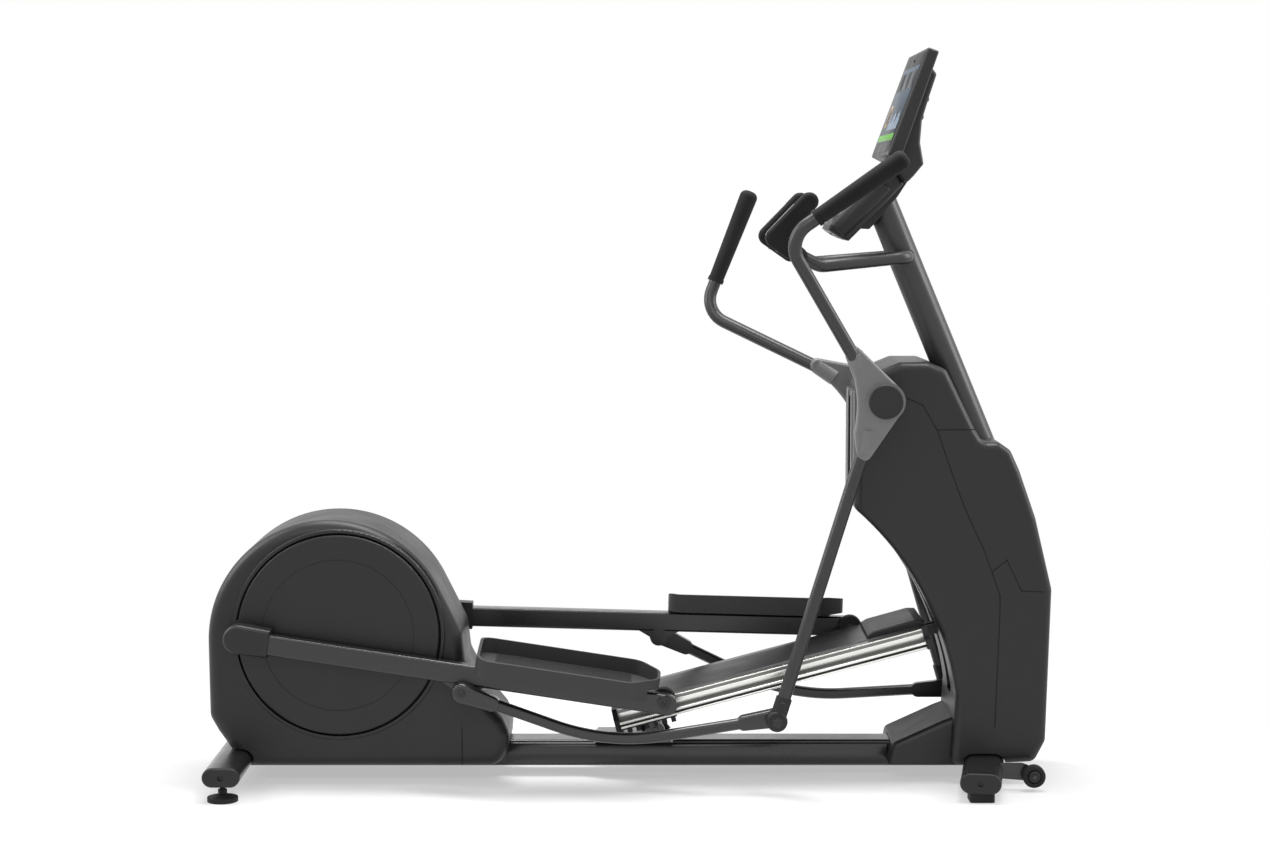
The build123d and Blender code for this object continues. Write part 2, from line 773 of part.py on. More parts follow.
mast_top = (612.0, 1436.0)
mast_foot = (881.0, 794.0)
bar_z = 1286.0
bar_x = 680.0
hood_edge = 20.0


def make_mast():
    tube = bar(spot(mast_top, 0), spot(mast_foot, 0), mast_tube / 2)
    tube -= bar(spot(mast_top, 0), spot(mast_foot, 0), mast_tube / 2 - 4)
    return tube - handlebar_solid(bar_tube / 2)


def mast_point(z):
    t = (mast_top[1] - z) / (mast_top[1] - mast_foot[1])
    return mast_top[0] + (mast_foot[0] - mast_top[0]) * t


def make_front_frame():
    """Post on the base rail, carrier to the arm axle and the axle itself."""
    post = block(895, 978, -54, 54, 72, 80)
    for y in (-54, 46):
        post += block(932, 974, y, y + 8, 72, 700)
    cap = face_of([(932, 690), (974, 690), (958, 740), (880, 800), (840, 800)])
    post += slab(cap, -54, 54)
    side = make_hull(
        (Pos(hub_x, hub_z) * Circle(34)).edges()
        + face_of([(mast_point(1010) - 50, 1010), (mast_point(900) - 46, 1010),
                   (mast_point(880) + 10, 800), (mast_point(880) - 60, 820)]).edges()
    )
    post += slab(side, -26, 26)
    post -= bar(spot(mast_top, 0), spot(mast_foot, 0), mast_tube / 2)
    post += rod(hub_x, hub_z, 15, -arm_y - 16.4, arm_y + 16.4)
    post += rod(hub_x, hub_z, 21, -arm_y + 23, -20) + rod(hub_x, hub_z, 21, 20, arm_y - 23)
    return main_solid(post - front_bar(98, 50, 0))


skirt_low = 45.0


def hood_outline(inset):
    """Side view of the hood; its hollow back follows the sweep of the ramp's front end."""
    low = radians(8.0)
    high = radians(49.5)
    turns = (low, (low + high) / 2, high)
    arc = [(pivot_x + arc_radius * cos(a), pivot_z + arc_radius * sin(a)) for a in turns]
    pts = [
        arc[2], (548, 700), (548, 966), (602, 1012), (655, 1034), (722, 1034), (768, 1016), (838, 872),
        (858, 840),
        (896, 841), (926, 820), (948, 772), (989, 655), (1031, 480), (1021, 106), (994, skirt_low + 9),
        (818, skirt_low), (arc[0][0] - 12, skirt_low), arc[0],
    ]
    edges = [Line(pts[i], pts[i + 1]) for i in range(len(pts) - 1)]
    edges.append(ThreePointArc(arc[0], arc[1], arc[2]))
    outline = round_corners(make_face(edges), hood_edge + 4)
    return offset(outline, -inset) if inset else outline


def hood_foot(inset):
    low = skirt_low + inset
    pts = [
        (640 + inset, low), (850, low), (850, 180 - inset), (772, 151 - inset), (650 + inset, 95 - inset)
    ]
    return slab(face_of(pts), -foot_half + inset, foot_half - inset)


def make_hood():
    """Both halves of the front cover, open for the mast, the arm axle, the ramp's fork and the base."""
    outer = slab(hood_outline(0), -hood_half, hood_half)
    outer = soften(outer, outer.faces().filter_by(Axis.Y).edges(), hood_edge)
    foot = hood_foot(0)
    foot = soften(foot, foot.edges().filter_by(lambda e: e.center().Z > skirt_low + 3), 16)
    inner = slab(hood_outline(wall), -hood_half + wall, hood_half - wall)
    inner = soften(inner, inner.faces().filter_by(Axis.Y).edges(), hood_edge - wall)
    hollow = hood_foot(wall)
    hollow = soften(hollow, hollow.edges().filter_by(lambda e: e.center().Z > skirt_low + 8), 16 - wall)
    body = outer + foot
    body += rod(hub_x, hub_z, 40, -arm_y + 26, arm_y - 26)
    body -= inner + hollow
    body -= rod(hub_x, hub_z, 21.5, -400, 400)
    body -= bar(spot(mast_top, 0), spot(mast_foot, 0), mast_tube / 2 + 1)
    body -= front_bar(106, 58, 0)
    body -= block(400, front_mid, -42, 42, 0, rail_top + 2)
    way = rod(pivot_x, pivot_z, arc_radius + 80, -32, 32) - rod(pivot_x, pivot_z, arc_radius - 50, -40, 40)
    span = face_of([(pivot_x, pivot_z)] + [
        (pivot_x + 1200 * cos(radians(a)), pivot_z + 1200 * sin(radians(a))) for a in (7, 47)
    ])
    body -= way & slab(span, -50, 50)
    body -= block(500, 560, -62, 62, 725, 962)
    side_panel = [(672, 948), (711, 931), (746, 871), (798, 725), (828, 652), (860, 586), (883, 525),
                  (903, 468),
                  (904, 437), (895, 143)]
    lines = seam(side_panel, 1.6, hood_half) + seam([(746, 871), (838, 872)], 1.6, hood_half)
    lines += seam([(883, 525), (919, 554), (956, 478), (1008, 476)], 1.6, hood_half)
    body -= lines
    body -= mirrored(lines)
    left = main_solid(body & block(300, 1200, 0, 400, 0, 1300))
    return mirrored(left), left


def make_hood_panel():
    panel = block(548, 556, -62, 62, 725, 962)
    panel = panel - block(540, 553, -40, 40, 745, 942)
    return panel


def handlebar_solid(radius):
    path = FilletPolyline(
        (360, -160, 1316), (460, -150, 1266), (bar_x, -72, bar_z), (bar_x, 0, bar_z), radius=38
    )
    half = sweep_along(path, radius)
    return half + mirrored(half)


def make_handlebar():
    return handlebar_solid(bar_tube / 2)


heel_x = 353.0
heel_z = 1334.0


def fixed_grip_face():
    heel = Pos(heel_x, heel_z) * Circle(25)
    tip = Pos(heel_x + 79, heel_z + 86) * Circle(22)
    root = Pos(heel_x + 55, heel_z - 44) * Circle(21)
    return make_hull(heel.edges() + tip.edges()) + make_hull(heel.edges() + root.edges())


def make_fixed_grips():
    grip = slab(fixed_grip_face(), -182, -138)
    grip = soften(grip, grip.faces().filter_by(Axis.Y).edges(), 11)
    grip -= handlebar_solid(bar_tube / 2)
    grip -= make_contact()
    grip = main_solid(grip)
    return Compound([grip, mirrored(grip)])


def make_contact():
    """The pulse plate let into the back edge of the right grip."""
    tilt = heading((0, 0), (79, 86))
    ring = fixed_grip_face()
    plate = slab(ring, -171, -149) - slab(offset(ring, -2), -190, -130)
    band = block(heel_x - 12, heel_x + 88, -200, -100, heel_z + 6, heel_z + 60)
    return main_solid(plate & turn(band, heel_x, heel_z, tilt))


def make_contacts():
    right = make_contact()
    return Compound([right, mirrored(right)])


face_low = (614.0, 1531.0)
face_top = (707.0, 1782.0)


def on_face(along, depth):
    """A point of the console's side view: up the face from its lower edge, and back from it."""
    run = hypot(face_top[0] - face_low[0], face_top[1] - face_low[1])
    ux = (face_top[0] - face_low[0]) / run
    uz = (face_top[1] - face_low[1]) / run
    return (face_low[0] + ux * along + uz * depth, face_low[1] + uz * along - ux * depth)


def make_console():
    """Slab that carries the screen, and the hollow-backed bulge behind it."""
    slab_pts = [on_face(0, 0), on_face(268, 0), on_face(268, 28), on_face(-4, 34)]
    body = slab(face_of(slab_pts), -console_half, console_half)
    body = soften(body, body.edges().filter_by(Axis.Y), 4)
    body = soften(body, body.faces().filter_by(Axis.Y).edges(), 6)
    bulge = face_of([on_face(238, 20), (735, 1722), (718, 1670), (701, 1613), (697, 1560), (706, 1509),
                     (682, 1480),
                     (664, 1462), (640, 1500), on_face(2, 20)])
    bulge = slab(round_corners(bulge, 8), -150, 150)
    bulge = soften(bulge, bulge.faces().filter_by(Axis.Y).edges(), 9)
    body += bulge
    body -= bar(spot(mast_top, 0), spot(mast_foot, 0), mast_tube / 2)
    return body - make_screen()


def make_screen():
    pts = [on_face(34, 0.6), on_face(227, 0.6), on_face(227, 3), on_face(34, 3)]
    return slab(face_of(pts), -173, 173)


def make_pod():
    """Tray below the screen and the neck that takes the mast."""
    tray = face_of([(650, 1490), (664, 1462), (562, 1354), (533, 1325), (514, 1332), (482, 1353),
                    (486, 1363),
                    (616, 1494)])
    tray = slab(tray, -95, 95)
    tray = soften(tray, tray.faces().filter_by(Axis.Y).edges(), 8)
    neck = face_of([(650, 1490), (664, 1462), (682, 1480), (678, 1468), (654, 1431), (634, 1409),
                    (601, 1368),
                    (586, 1353), (562, 1354), (540, 1400)])
    neck = slab(neck, -54, 54)
    neck = soften(neck, neck.faces().filter_by(Axis.Y).edges(), 8)
    pod = tray + neck
    pod -= bar(spot(mast_top, 0), spot(mast_foot, 0), mast_tube / 2)
    pod -= make_console()
    return main_solid(pod)


def pair(name, right, left):
    save("right_" + name, right)
    save("left_" + name, left)


def save(name, shape):
    """Saved with the origin on the floor under the middle of the whole machine."""
    export_step(Pos(middle_shift, 0, 0) * shape, "parts/" + name + ".step")


def main():
    os.makedirs("parts", exist_ok=True)
    save("base_rail", make_base_rail() + make_drive_bracket())
    save("rear_stabiliser", make_rear_stabiliser())
    save("front_stabiliser", make_front_stabiliser())
    save("stabiliser_end_caps", make_end_caps())
    save("front_feet", make_front_feet())
    foot = make_levelling_foot()
    pair("levelling_foot", foot, mirrored(foot))
    wheel = make_wheel()
    pair("transport_wheel", wheel, mirrored(wheel))

    right, left, cover = make_drive_shells()
    pair("drive_shell", right, left)
    save("drive_rear_cover", cover)
    save("drive_belt", make_belt())
    save("crankshaft", make_crankshaft() + make_pulley())
    save("crank_discs", make_discs())
    save("flywheel", make_flywheel())

    save("ramp_rails", make_rails())
    save("ramp_frame", make_ramp_frame())
    save("ramp_cover", make_ramp_cover())
    save("ramp_end_caps", make_ramp_caps())
    save("lift_motor", make_lift_motor())
    save("lift_screw", make_lift_screw())

    for name, make in (("foot_link", make_foot_link), ("link_boot", make_boot), ("pedal", make_pedal),
                       ("axle_bush", make_bush)):
        shape = make()
        pair(name, shape, left_link(shape))
    for name, make in (("roller", make_roller), ("roller_axle", make_axle), ("axle_spacer", make_spacer)):
        shape = make()
        pair(name, shape, left_axle(shape))

    upper, lower = make_arm_tubes()
    pair("arm_tubes", Compound([upper, lower]), Compound([left_arm(upper), left_arm(lower)]))
    for name, make in (("arm_casting", make_yoke), ("hand_grip", make_grip), ("elbow", make_elbow),
                       ("arm_bush", make_arm_bush)):
        shape = make()
        pair(name, shape, left_arm(shape))
    for name, make in (("elbow_pin", make_elbow_pin), ("lower_link", make_lower_link)):
        shape = make()
        pair(name, shape, left_low(shape))

    right, left = make_hood()
    pair("hood", right, left)
    save("hood_panel", make_hood_panel())
    save("mast", make_mast() + make_front_frame())
    save("fixed_handlebar", make_handlebar())
    save("fixed_grips", make_fixed_grips())
    save("pulse_contacts", make_contacts())
    save("console_housing", make_console())
    save("console_screen", make_screen())
    save("console_pod", make_pod())


main()
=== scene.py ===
import json
from math import atan2, cos, pi, radians, sin

import bpy
from bpy.props import FloatProperty, IntProperty, PointerProperty, StringProperty
from mathutils import Matrix, Vector


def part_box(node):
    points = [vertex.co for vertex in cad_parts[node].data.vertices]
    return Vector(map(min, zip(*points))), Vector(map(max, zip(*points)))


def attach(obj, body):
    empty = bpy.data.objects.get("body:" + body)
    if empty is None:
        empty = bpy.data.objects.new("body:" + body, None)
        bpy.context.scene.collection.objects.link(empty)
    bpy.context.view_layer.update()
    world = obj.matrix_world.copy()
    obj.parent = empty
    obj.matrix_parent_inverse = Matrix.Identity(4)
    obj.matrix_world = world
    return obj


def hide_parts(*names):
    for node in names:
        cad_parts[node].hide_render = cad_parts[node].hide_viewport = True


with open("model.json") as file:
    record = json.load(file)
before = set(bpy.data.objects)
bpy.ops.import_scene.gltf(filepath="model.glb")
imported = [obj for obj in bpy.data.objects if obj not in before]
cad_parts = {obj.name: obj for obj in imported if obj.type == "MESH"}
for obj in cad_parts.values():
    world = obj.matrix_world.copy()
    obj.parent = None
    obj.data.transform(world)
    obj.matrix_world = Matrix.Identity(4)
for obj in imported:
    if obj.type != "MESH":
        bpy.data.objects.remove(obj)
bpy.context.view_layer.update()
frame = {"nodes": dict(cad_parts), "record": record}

bl_info = {
    "name": "Elliptical trainer",
    "version": (1, 0, 0),
    "blender": (4, 5, 0),
    "location": "View3D > Sidebar > Trainer",
    "description": "Finishes, fittings and a pale stage for the elliptical trainer",
    "category": "Object",
}

JOINT_AT = {joint["name"]: joint["pos_m"] for joint in frame["record"]["behaviour"]["joints"] if "pos_m" in joint}
SIDES = (("right", -1), ("left", 1))
UP = Vector((0, 0, 1))
# the drawing's zero lies this far ahead of the frame's, in millimetres
DRAWING_AHEAD = 3.0


def outward(sign):
    """Out from the middle plane on that side."""
    return Vector((0, sign, 0))


def linear(hex_colour):
    """sRGB hex to linear RGBA."""
    parts = [int(hex_colour[i:i + 2], 16) / 255 for i in (1, 3, 5)]
    return tuple(c / 12.92 if c <= 0.04045 else ((c + 0.055) / 1.055) ** 2.4 for c in parts) + (1.0,)


def drawn(x, y, z):
    """A point of the drawing, from millimetres to metres in the frame."""
    return Vector((x - DRAWING_AHEAD, y, z)) / 1000


# sizes and colours that a user would change


class TrainerFinishes(bpy.types.PropertyGroup):
    """Colours of the trainer's finishes, as sRGB hex."""
    charcoal: StringProperty(name="Covers", description="Moulded covers and console", default="#1a1a1b")
    graphite: StringProperty(name="Tubes", description="Metallic paint on the tubes", default="#3e3e3f")
    links: StringProperty(name="Links and rail", description="Paint on the links and base", default="#202021")
    casting: StringProperty(name="Castings", description="Paint on the arm castings", default="#767677")
    grip: StringProperty(name="Grips", description="Foam rubber grips", default="#0d0d0e")
    cover: StringProperty(name="Ramp cover", description="Cover between the rails", default="#1b1b1d")
    rail: StringProperty(name="Ramp rails", description="Anodised rails", default="#7d7d7b")
    # paler than the rails: the painted highlight along each ridge
    ridge: StringProperty(name="Rail ridges", description="Painted highlights along the rails' ridges", default="#eeeeea")
    pedal: StringProperty(name="Pedals", description="Moulded treads", default="#3a3a3b")
    lit: StringProperty(name="Screen strip", description="Lit strip under the picture", default="#4f8f2c")


class TrainerFittings(bpy.types.PropertyGroup):
    """Sizes of the small fittings."""
    hub_cap: FloatProperty(name="Hub cap", description="Radius of the arm hub's cap", default=0.0405, unit="LENGTH")
    screw: FloatProperty(name="Screw head", description="Radius of a button head", default=0.0055, unit="LENGTH")
    bolt: FloatProperty(name="Bolt head", description="Radius of a link bolt's head", default=0.0105, unit="LENGTH")
    bead: FloatProperty(name="Weld bead", description="Half thickness of a weld bead", default=0.003, unit="LENGTH")
    bars: IntProperty(name="Screen bars", description="Bars of the effort chart", default=14, min=4)
    vents: IntProperty(name="Vents", description="Slats of the console's vent", default=7, min=2)


class TrainerStage(bpy.types.PropertyGroup):
    """Where the camera stands and its lens."""
    camera_back: FloatProperty(name="Camera distance", description="Out from the middle plane", default=5.975,
                               unit="LENGTH")
    camera_high: FloatProperty(name="Camera height", description="Above the floor", default=1.424, unit="LENGTH")
    camera_along: FloatProperty(name="Camera place", description="Along the machine", default=0.014, unit="LENGTH")
    camera_pitch: FloatProperty(name="Camera pitch", description="Below level", default=radians(5.26),
                                subtype="ANGLE")
    lens: FloatProperty(name="Lens", description="Focal length in millimetres", default=68.88, min=10)


# materials


def add(tree, kind, place, inputs=None, **settings):
    """One node with its settings; inputs are values, or (node, socket) pairs to link."""
    node = tree.nodes.new(kind)
    node.location = place
    for key, value in settings.items():
        setattr(node, key, value)
    for socket, value in (inputs or {}).items():
        if isinstance(value, tuple) and len(value) == 2 and hasattr(value[0], "outputs"):
            tree.links.new(value[0].outputs[value[1]], node.inputs[socket])
        else:
            node.inputs[socket].default_value = value
    return node


def blank(name):
    """A material whose node tree is still empty."""
    material = bpy.data.materials.new(name)
    material.use_nodes = True
    material.node_tree.nodes.clear()
    return material, material.node_tree


def shade(colour, share):
    """The colour, darker or lighter by its share."""
    return tuple(min(1.0, c * share) for c in colour[:3]) + (1.0,)


# how far the clouds move a finish's roughness up and down
ROUGHNESS_DRIFT = 0.05


def surface(name, colour, roughness, grain, depth, metallic=0.0, tint=0.08, specular=0.5, coat=0.0,
            stretch=(1, 1, 1), cloud=90.0):
    """A finish with a grain (size and depth in mm) under slow clouds of handling and dust (size in mm)."""
    material, tree = blank(name)
    coord = add(tree, "ShaderNodeTexCoord", (-1100, 0))
    lie = add(tree, "ShaderNodeMapping", (-920, 0), {"Vector": (coord, "Object"), "Scale": stretch})
    fine = add(tree, "ShaderNodeTexNoise", (-700, -200), {
        "Vector": (lie, "Vector"), "Scale": 1000 / grain, "Detail": 3.0, "Roughness": 0.55})
    slow = add(tree, "ShaderNodeTexNoise", (-700, 200), {
        "Vector": (coord, "Object"), "Scale": 1000 / cloud, "Detail": 2.0, "Roughness": 0.5})
    both = add(tree, "ShaderNodeMath", (-480, 100), {0: (fine, "Fac"), 1: (slow, "Fac")}, operation="ADD")
    share = add(tree, "ShaderNodeMapRange", (-300, 100), {
        "Value": (both, "Value"), "From Min": 0.6, "From Max": 1.4})
    base = linear(colour)
    tone = add(tree, "ShaderNodeMix", (-80, 160), {
        "Factor": (share, "Result"), 6: shade(base, 1 - tint), 7: shade(base, 1 + tint)}, data_type="RGBA")
    dull = add(tree, "ShaderNodeMapRange", (-80, -60), {
        "Value": (slow, "Fac"), "From Min": 0.3, "From Max": 0.7, "To Min": roughness - ROUGHNESS_DRIFT,
        "To Max": roughness + ROUGHNESS_DRIFT})
    bump = add(tree, "ShaderNodeBump", (-80, -300), {
        "Height": (fine, "Fac"), "Strength": 0.5, "Distance": depth / 1000})
    shader = add(tree, "ShaderNodeBsdfPrincipled", (240, 0), {
        "Base Color": (tone, 2), "Roughness": (dull, "Result"), "Normal": (bump, "Normal"),
        "Metallic": metallic, "Specular IOR Level": specular, "Coat Weight": coat, "Coat Roughness": 0.25})
    add(tree, "ShaderNodeOutputMaterial", (560, 0), {"Surface": (shader, "BSDF")})
    return material


# heights of the screen's lower and upper edge in metres, and the size of its haze in millimetres
SCREEN_LOW, SCREEN_HIGH = 1.56, 1.745
HAZE = 60.0


def glowing(name, low, high, strength):
    """A lit layer under glass: the colour runs from low to high up the console's face."""
    material, tree = blank(name)
    coord = add(tree, "ShaderNodeTexCoord", (-900, 0))
    parts = add(tree, "ShaderNodeSeparateXYZ", (-720, 0), {"Vector": (coord, "Object")})
    rise = add(tree, "ShaderNodeMapRange", (-540, 0), {
        "Value": (parts, "Z"), "From Min": SCREEN_LOW, "From Max": SCREEN_HIGH})
    haze = add(tree, "ShaderNodeTexNoise", (-540, -240), {
        "Vector": (coord, "Object"), "Scale": 1000 / HAZE, "Detail": 4.0, "Roughness": 0.6})
    both = add(tree, "ShaderNodeMath", (-340, 0), {0: (rise, "Result"), 1: (haze, "Fac")}, operation="MULTIPLY")
    tone = add(tree, "ShaderNodeMix", (-140, 0), {
        "Factor": (both, "Value"), 6: linear(low), 7: linear(high)}, data_type="RGBA")
    shader = add(tree, "ShaderNodeBsdfPrincipled", (120, 0), {
        "Base Color": (tone, 2), "Emission Color": (tone, 2), "Emission Strength": strength, "Roughness": 0.3,
        "Specular IOR Level": 0.05})
    add(tree, "ShaderNodeOutputMaterial", (420, 0), {"Surface": (shader, "BSDF")})
    return material


def make_finishes(look):
    return {
        # ABS from a spark-eroded mould: soft sheen, fine leathery grain drawn as coarse as it needs to show
        "charcoal": surface("ABS, moulded with a spark-eroded grain", look.charcoal, roughness=0.42, grain=2.2,
                            depth=0.06, specular=0.42),
        # the same ABS in black, for end caps and small mouldings
        "dark_plastic": surface("ABS, moulded in black", "#17171a", roughness=0.48, grain=2.2, depth=0.05,
                                specular=0.4),
        # metal flake in a satin film: dark to the front, bright streaks along the tubes
        "gunmetal": surface("Steel tube, graphite metallic powder coat", look.graphite, roughness=0.4, grain=1.5,
                            depth=0.006, metallic=0.8, coat=0.2),
        # dark powder coat: nearly black with a soft line of light along the edges
        "links": surface("Steel box tube, dark powder coat", look.links, roughness=0.3, grain=1.6, depth=0.01,
                         metallic=0.35, coat=0.6),
        # die casting under paint: slight orange peel
        "casting": surface("Aluminium casting, painted", look.casting, roughness=0.44, grain=3.0, depth=0.06,
                           metallic=0.3),
        # sprayed black: satin, with a fine tooth
        "black_steel": surface("Steel, painted black", "#1a1a1c", roughness=0.45, grain=1.6, depth=0.03),
        # drawn lines run along the extrusion
        "rail": surface("Aluminium extrusion, bright anodised", look.rail, roughness=0.36, grain=2.5, depth=0.0004,
                        metallic=1.0, tint=0.02, stretch=(0.04, 1, 1)),
        # the ridges are paler copies of the rail's anodised aluminium: painted highlights, clean bright lines
        # beside the duller web
        "ridge": surface("Aluminium extrusion, anodised, pale for painted highlights", look.ridge, roughness=0.3, grain=2.5,
                         depth=0.0004, metallic=1.0, tint=0.02, stretch=(0.04, 1, 1)),
        # turned and ground: bright, with a faint tool grain
        "steel": surface("Steel, machined", "#a9aaad", roughness=0.3, grain=1.0, depth=0.012, metallic=1.0,
                         tint=0.06),
        # closed-cell foam: soft and almost without shine
        "grip": surface("Foam rubber, skinned", look.grip, roughness=0.78, grain=1.3, depth=0.09, specular=0.3,
                        tint=0.12),
        # moulded rubber: dull and even
        "rubber": surface("Rubber, moulded", "#18181a", roughness=0.72, grain=1.8, depth=0.06, specular=0.35),
        # tread elastomer: duller than the covers, with a sandy grain
        "pedal_plastic": surface("Tread elastomer, moulded", look.pedal, roughness=0.6, grain=1.6, depth=0.07,
                                 specular=0.35, tint=0.1),
        # pressed powder: warm and slightly rough
        "bronze": surface("Bronze, sintered", "#8a6a3e", roughness=0.42, grain=0.9, depth=0.02, metallic=1.0),
        # satin paint on flat sheet: a broad soft reflection
        "cover": surface("Steel sheet, satin black", look.cover, roughness=0.38, grain=2.0, depth=0.02),
        # pale grey strips: painted highlights round the slot and on the tray's end, where the edges catch the light
        "trim": surface("ABS in pale grey, for painted highlights", "#9a9b9e", roughness=0.42, grain=2.2, depth=0.04),
        # etched against glare: dark from every side
        "dark_glass": surface("Cover glass over black print", "#0b0c0e", roughness=0.3, grain=6.0, depth=0.0,
                              specular=0.05, tint=0.0),
        # lit picture: a plain dusk gradient with slow haze
        "screen": glowing("Cover glass over a lit picture", "#161e27", "#4c5e72", 0.11),
        "lit_strip": glowing("Cover glass over a lit strip", look.lit, look.lit, 0.07),
        "lit_mark": glowing("Cover glass over lit marks", "#8a9aaa", "#a9b7c4", 0.1),
        "lit_warm": glowing("Cover glass over a warm lit field", "#a98a5c", "#c0a478", 0.1),
    }


# finishes by name, once they are made
FINISH = {}
PAINTED_DARK = ("right_foot_link", "left_foot_link", "right_lower_link", "left_lower_link", "base_rail",
                "rear_stabiliser", "front_stabiliser")


def dress(thing, finish):
    """Give the piece this finish alone."""
    thing.data.materials.clear()
    thing.data.materials.append(FINISH[finish])


class TRAINER_OT_finishes(bpy.types.Operator):
    """Give every solid its finish"""
    bl_idname = "trainer.finishes"
    bl_label = "Finishes"

    def execute(self, context):
        FINISH.update(make_finishes(context.scene.trainer_finishes))
        for entry in frame["record"]["subparts"]:
            dress(frame["nodes"][entry["node"]], entry["material_slot"])
        dress(frame["nodes"]["ramp_cover"], "cover")
        for name in PAINTED_DARK:
            dress(frame["nodes"][name], "links")
        for side, _ in SIDES:
            dress(frame["nodes"][side + "_roller_axle"], "black_steel")
        return {"FINISHED"}


# modelling

SMOOTH_BELOW = radians(32)


def begin():
    """Object mode with nothing selected."""
    if bpy.context.object is not None and bpy.context.object.mode != "OBJECT":
        bpy.ops.object.mode_set(mode="OBJECT")
    bpy.ops.object.select_all(action="DESELECT")


def pick(test, kind="FACE"):
    """Edit mode on the active piece with only the faces or edges that pass the test selected."""
    piece = bpy.context.object
    bpy.ops.object.mode_set(mode="EDIT")
    bpy.ops.mesh.select_mode(type=kind)
    bpy.ops.mesh.select_all(action="DESELECT")
    bpy.ops.object.mode_set(mode="OBJECT")
    if kind == "FACE":
        for face in piece.data.polygons:
            face.select = test(face)
    else:
        spots = piece.data.vertices
        for edge in piece.data.edges:
            edge.select = test(*(spots[i].co for i in edge.vertices))
    bpy.ops.object.mode_set(mode="EDIT")


def top_face(face):
    return face.normal.z > 0.99 and face.center.z > 0


def push(amount):
    """Extrude the picked faces straight up or down."""
    bpy.ops.mesh.extrude_region_move(TRANSFORM_OT_translate={"value": (0, 0, amount)})


def upright(a, b):
    return abs(a.x - b.x) + abs(a.y - b.y) < 1e-7


def settle(piece, name, place, facing, body, finish, slot, up=UP):
    """Turn the piece's upper side to face outwards at its place, fix that in the mesh, and dress it."""
    facing = Vector(facing).normalized()
    side = Vector(up).cross(facing)
    side = side.normalized() if side.length > 1e-6 else Vector((1, 0, 0))
    turn = Matrix((side, facing.cross(side), facing)).transposed().to_4x4()
    begin()
    piece.select_set(True)
    bpy.context.view_layer.objects.active = piece
    piece.matrix_world = Matrix.Translation(place) @ turn
    bpy.ops.object.transform_apply(location=True, rotation=True, scale=True)
    bpy.ops.object.shade_smooth_by_angle(angle=SMOOTH_BELOW)
    piece.name = name
    piece.data.name = name
    dress(piece, finish)
    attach(piece, body)
    return piece


def twin(piece):
    """A copy with a mesh of its own."""
    begin()
    piece.select_set(True)
    bpy.context.view_layer.objects.active = piece
    bpy.ops.object.duplicate(linked=False)
    return bpy.context.object


def drop(piece):
    """Remove a pattern once its copies are in place."""
    begin()
    piece.select_set(True)
    bpy.ops.object.delete()


def button_head(radius):
    """Round screw head with its drive socket."""
    begin()
    height = radius * 0.7
    bpy.ops.mesh.primitive_cylinder_add(vertices=30, radius=radius, depth=height, location=(0, 0, height / 2))
    piece = bpy.context.object
    bpy.ops.object.transform_apply(location=True)
    pick(top_face)
    bpy.ops.mesh.bevel(offset=height * 0.6, segments=4, affect="EDGES")
    pick(lambda face: face.normal.z > 0.99 and face.center.z > height * 0.9)
    bpy.ops.mesh.inset(thickness=radius * 0.12)
    push(-height * 0.55)
    begin()
    return piece


def hex_head(radius):
    """Hexagon bolt head, chamfered, on its washer."""
    begin()
    thick = radius * 0.18
    bpy.ops.mesh.primitive_cylinder_add(vertices=48, radius=radius * 1.3, depth=thick, location=(0, 0, thick / 2))
    washer = bpy.context.object
    bpy.ops.object.transform_apply(location=True)
    pick(top_face)
    bpy.ops.mesh.bevel(offset=thick * 0.4, segments=2, affect="EDGES")
    begin()
    height = radius * 0.75
    bpy.ops.mesh.primitive_cylinder_add(vertices=6, radius=radius, depth=height,
                                        location=(0, 0, thick + height / 2))
    head = bpy.context.object
    bpy.ops.object.transform_apply(location=True)
    pick(top_face)
    bpy.ops.mesh.inset(thickness=radius * 0.12)
    bpy.ops.transform.translate(value=(0, 0, radius * 0.1))
    begin()
    washer.select_set(True)
    head.select_set(True)
    bpy.context.view_layer.objects.active = washer
    bpy.ops.object.join()
    return bpy.context.object


def round_cap(radius, height, groove):
    """Flat cap with a rounded rim and a fine groove inside it."""
    begin()
    bpy.ops.mesh.primitive_cylinder_add(vertices=96, radius=radius, depth=height, location=(0, 0, height / 2))
    piece = bpy.context.object
    bpy.ops.object.transform_apply(location=True)
    pick(top_face)
    bpy.ops.mesh.bevel(offset=height * 0.55, segments=4, affect="EDGES")
    pick(lambda face: face.normal.z > 0.99 and face.center.z > height * 0.9)
    bpy.ops.mesh.inset(thickness=radius * 0.1)
    bpy.ops.mesh.inset(thickness=groove)
    push(-groove * 0.6)
    bpy.ops.mesh.inset(thickness=groove * 0.4)
    push(groove * 0.6)
    bpy.ops.mesh.inset(thickness=radius * 0.45)
    bpy.ops.transform.translate(value=(0, 0, height * 0.18))
    begin()
    return piece


def plate(width, length, height, corner):
    """Plate with round corners and a soft upper edge."""
    begin()
    bpy.ops.mesh.primitive_cube_add(size=1, location=(0, 0, height / 2), scale=(width, length, height))
    piece = bpy.context.object
    bpy.ops.object.transform_apply(location=True, scale=True)
    pick(upright, "EDGE")
    bpy.ops.mesh.bevel(offset=corner, segments=6, affect="EDGES")
    pick(top_face)
    bpy.ops.mesh.bevel(offset=min(height, corner) * 0.4, segments=2, affect="EDGES")
    begin()
    return piece


def dished_plate(width, length, height, corner, rim):
    """Plate whose middle is sunk inside a rim."""
    piece = plate(width, length, height, corner)
    bpy.context.view_layer.objects.active = piece
    pick(lambda face: face.normal.z > 0.99 and face.center.z > height * 0.9)
    bpy.ops.mesh.inset(thickness=rim)
    push(-height * 0.6)
    begin()
    return piece


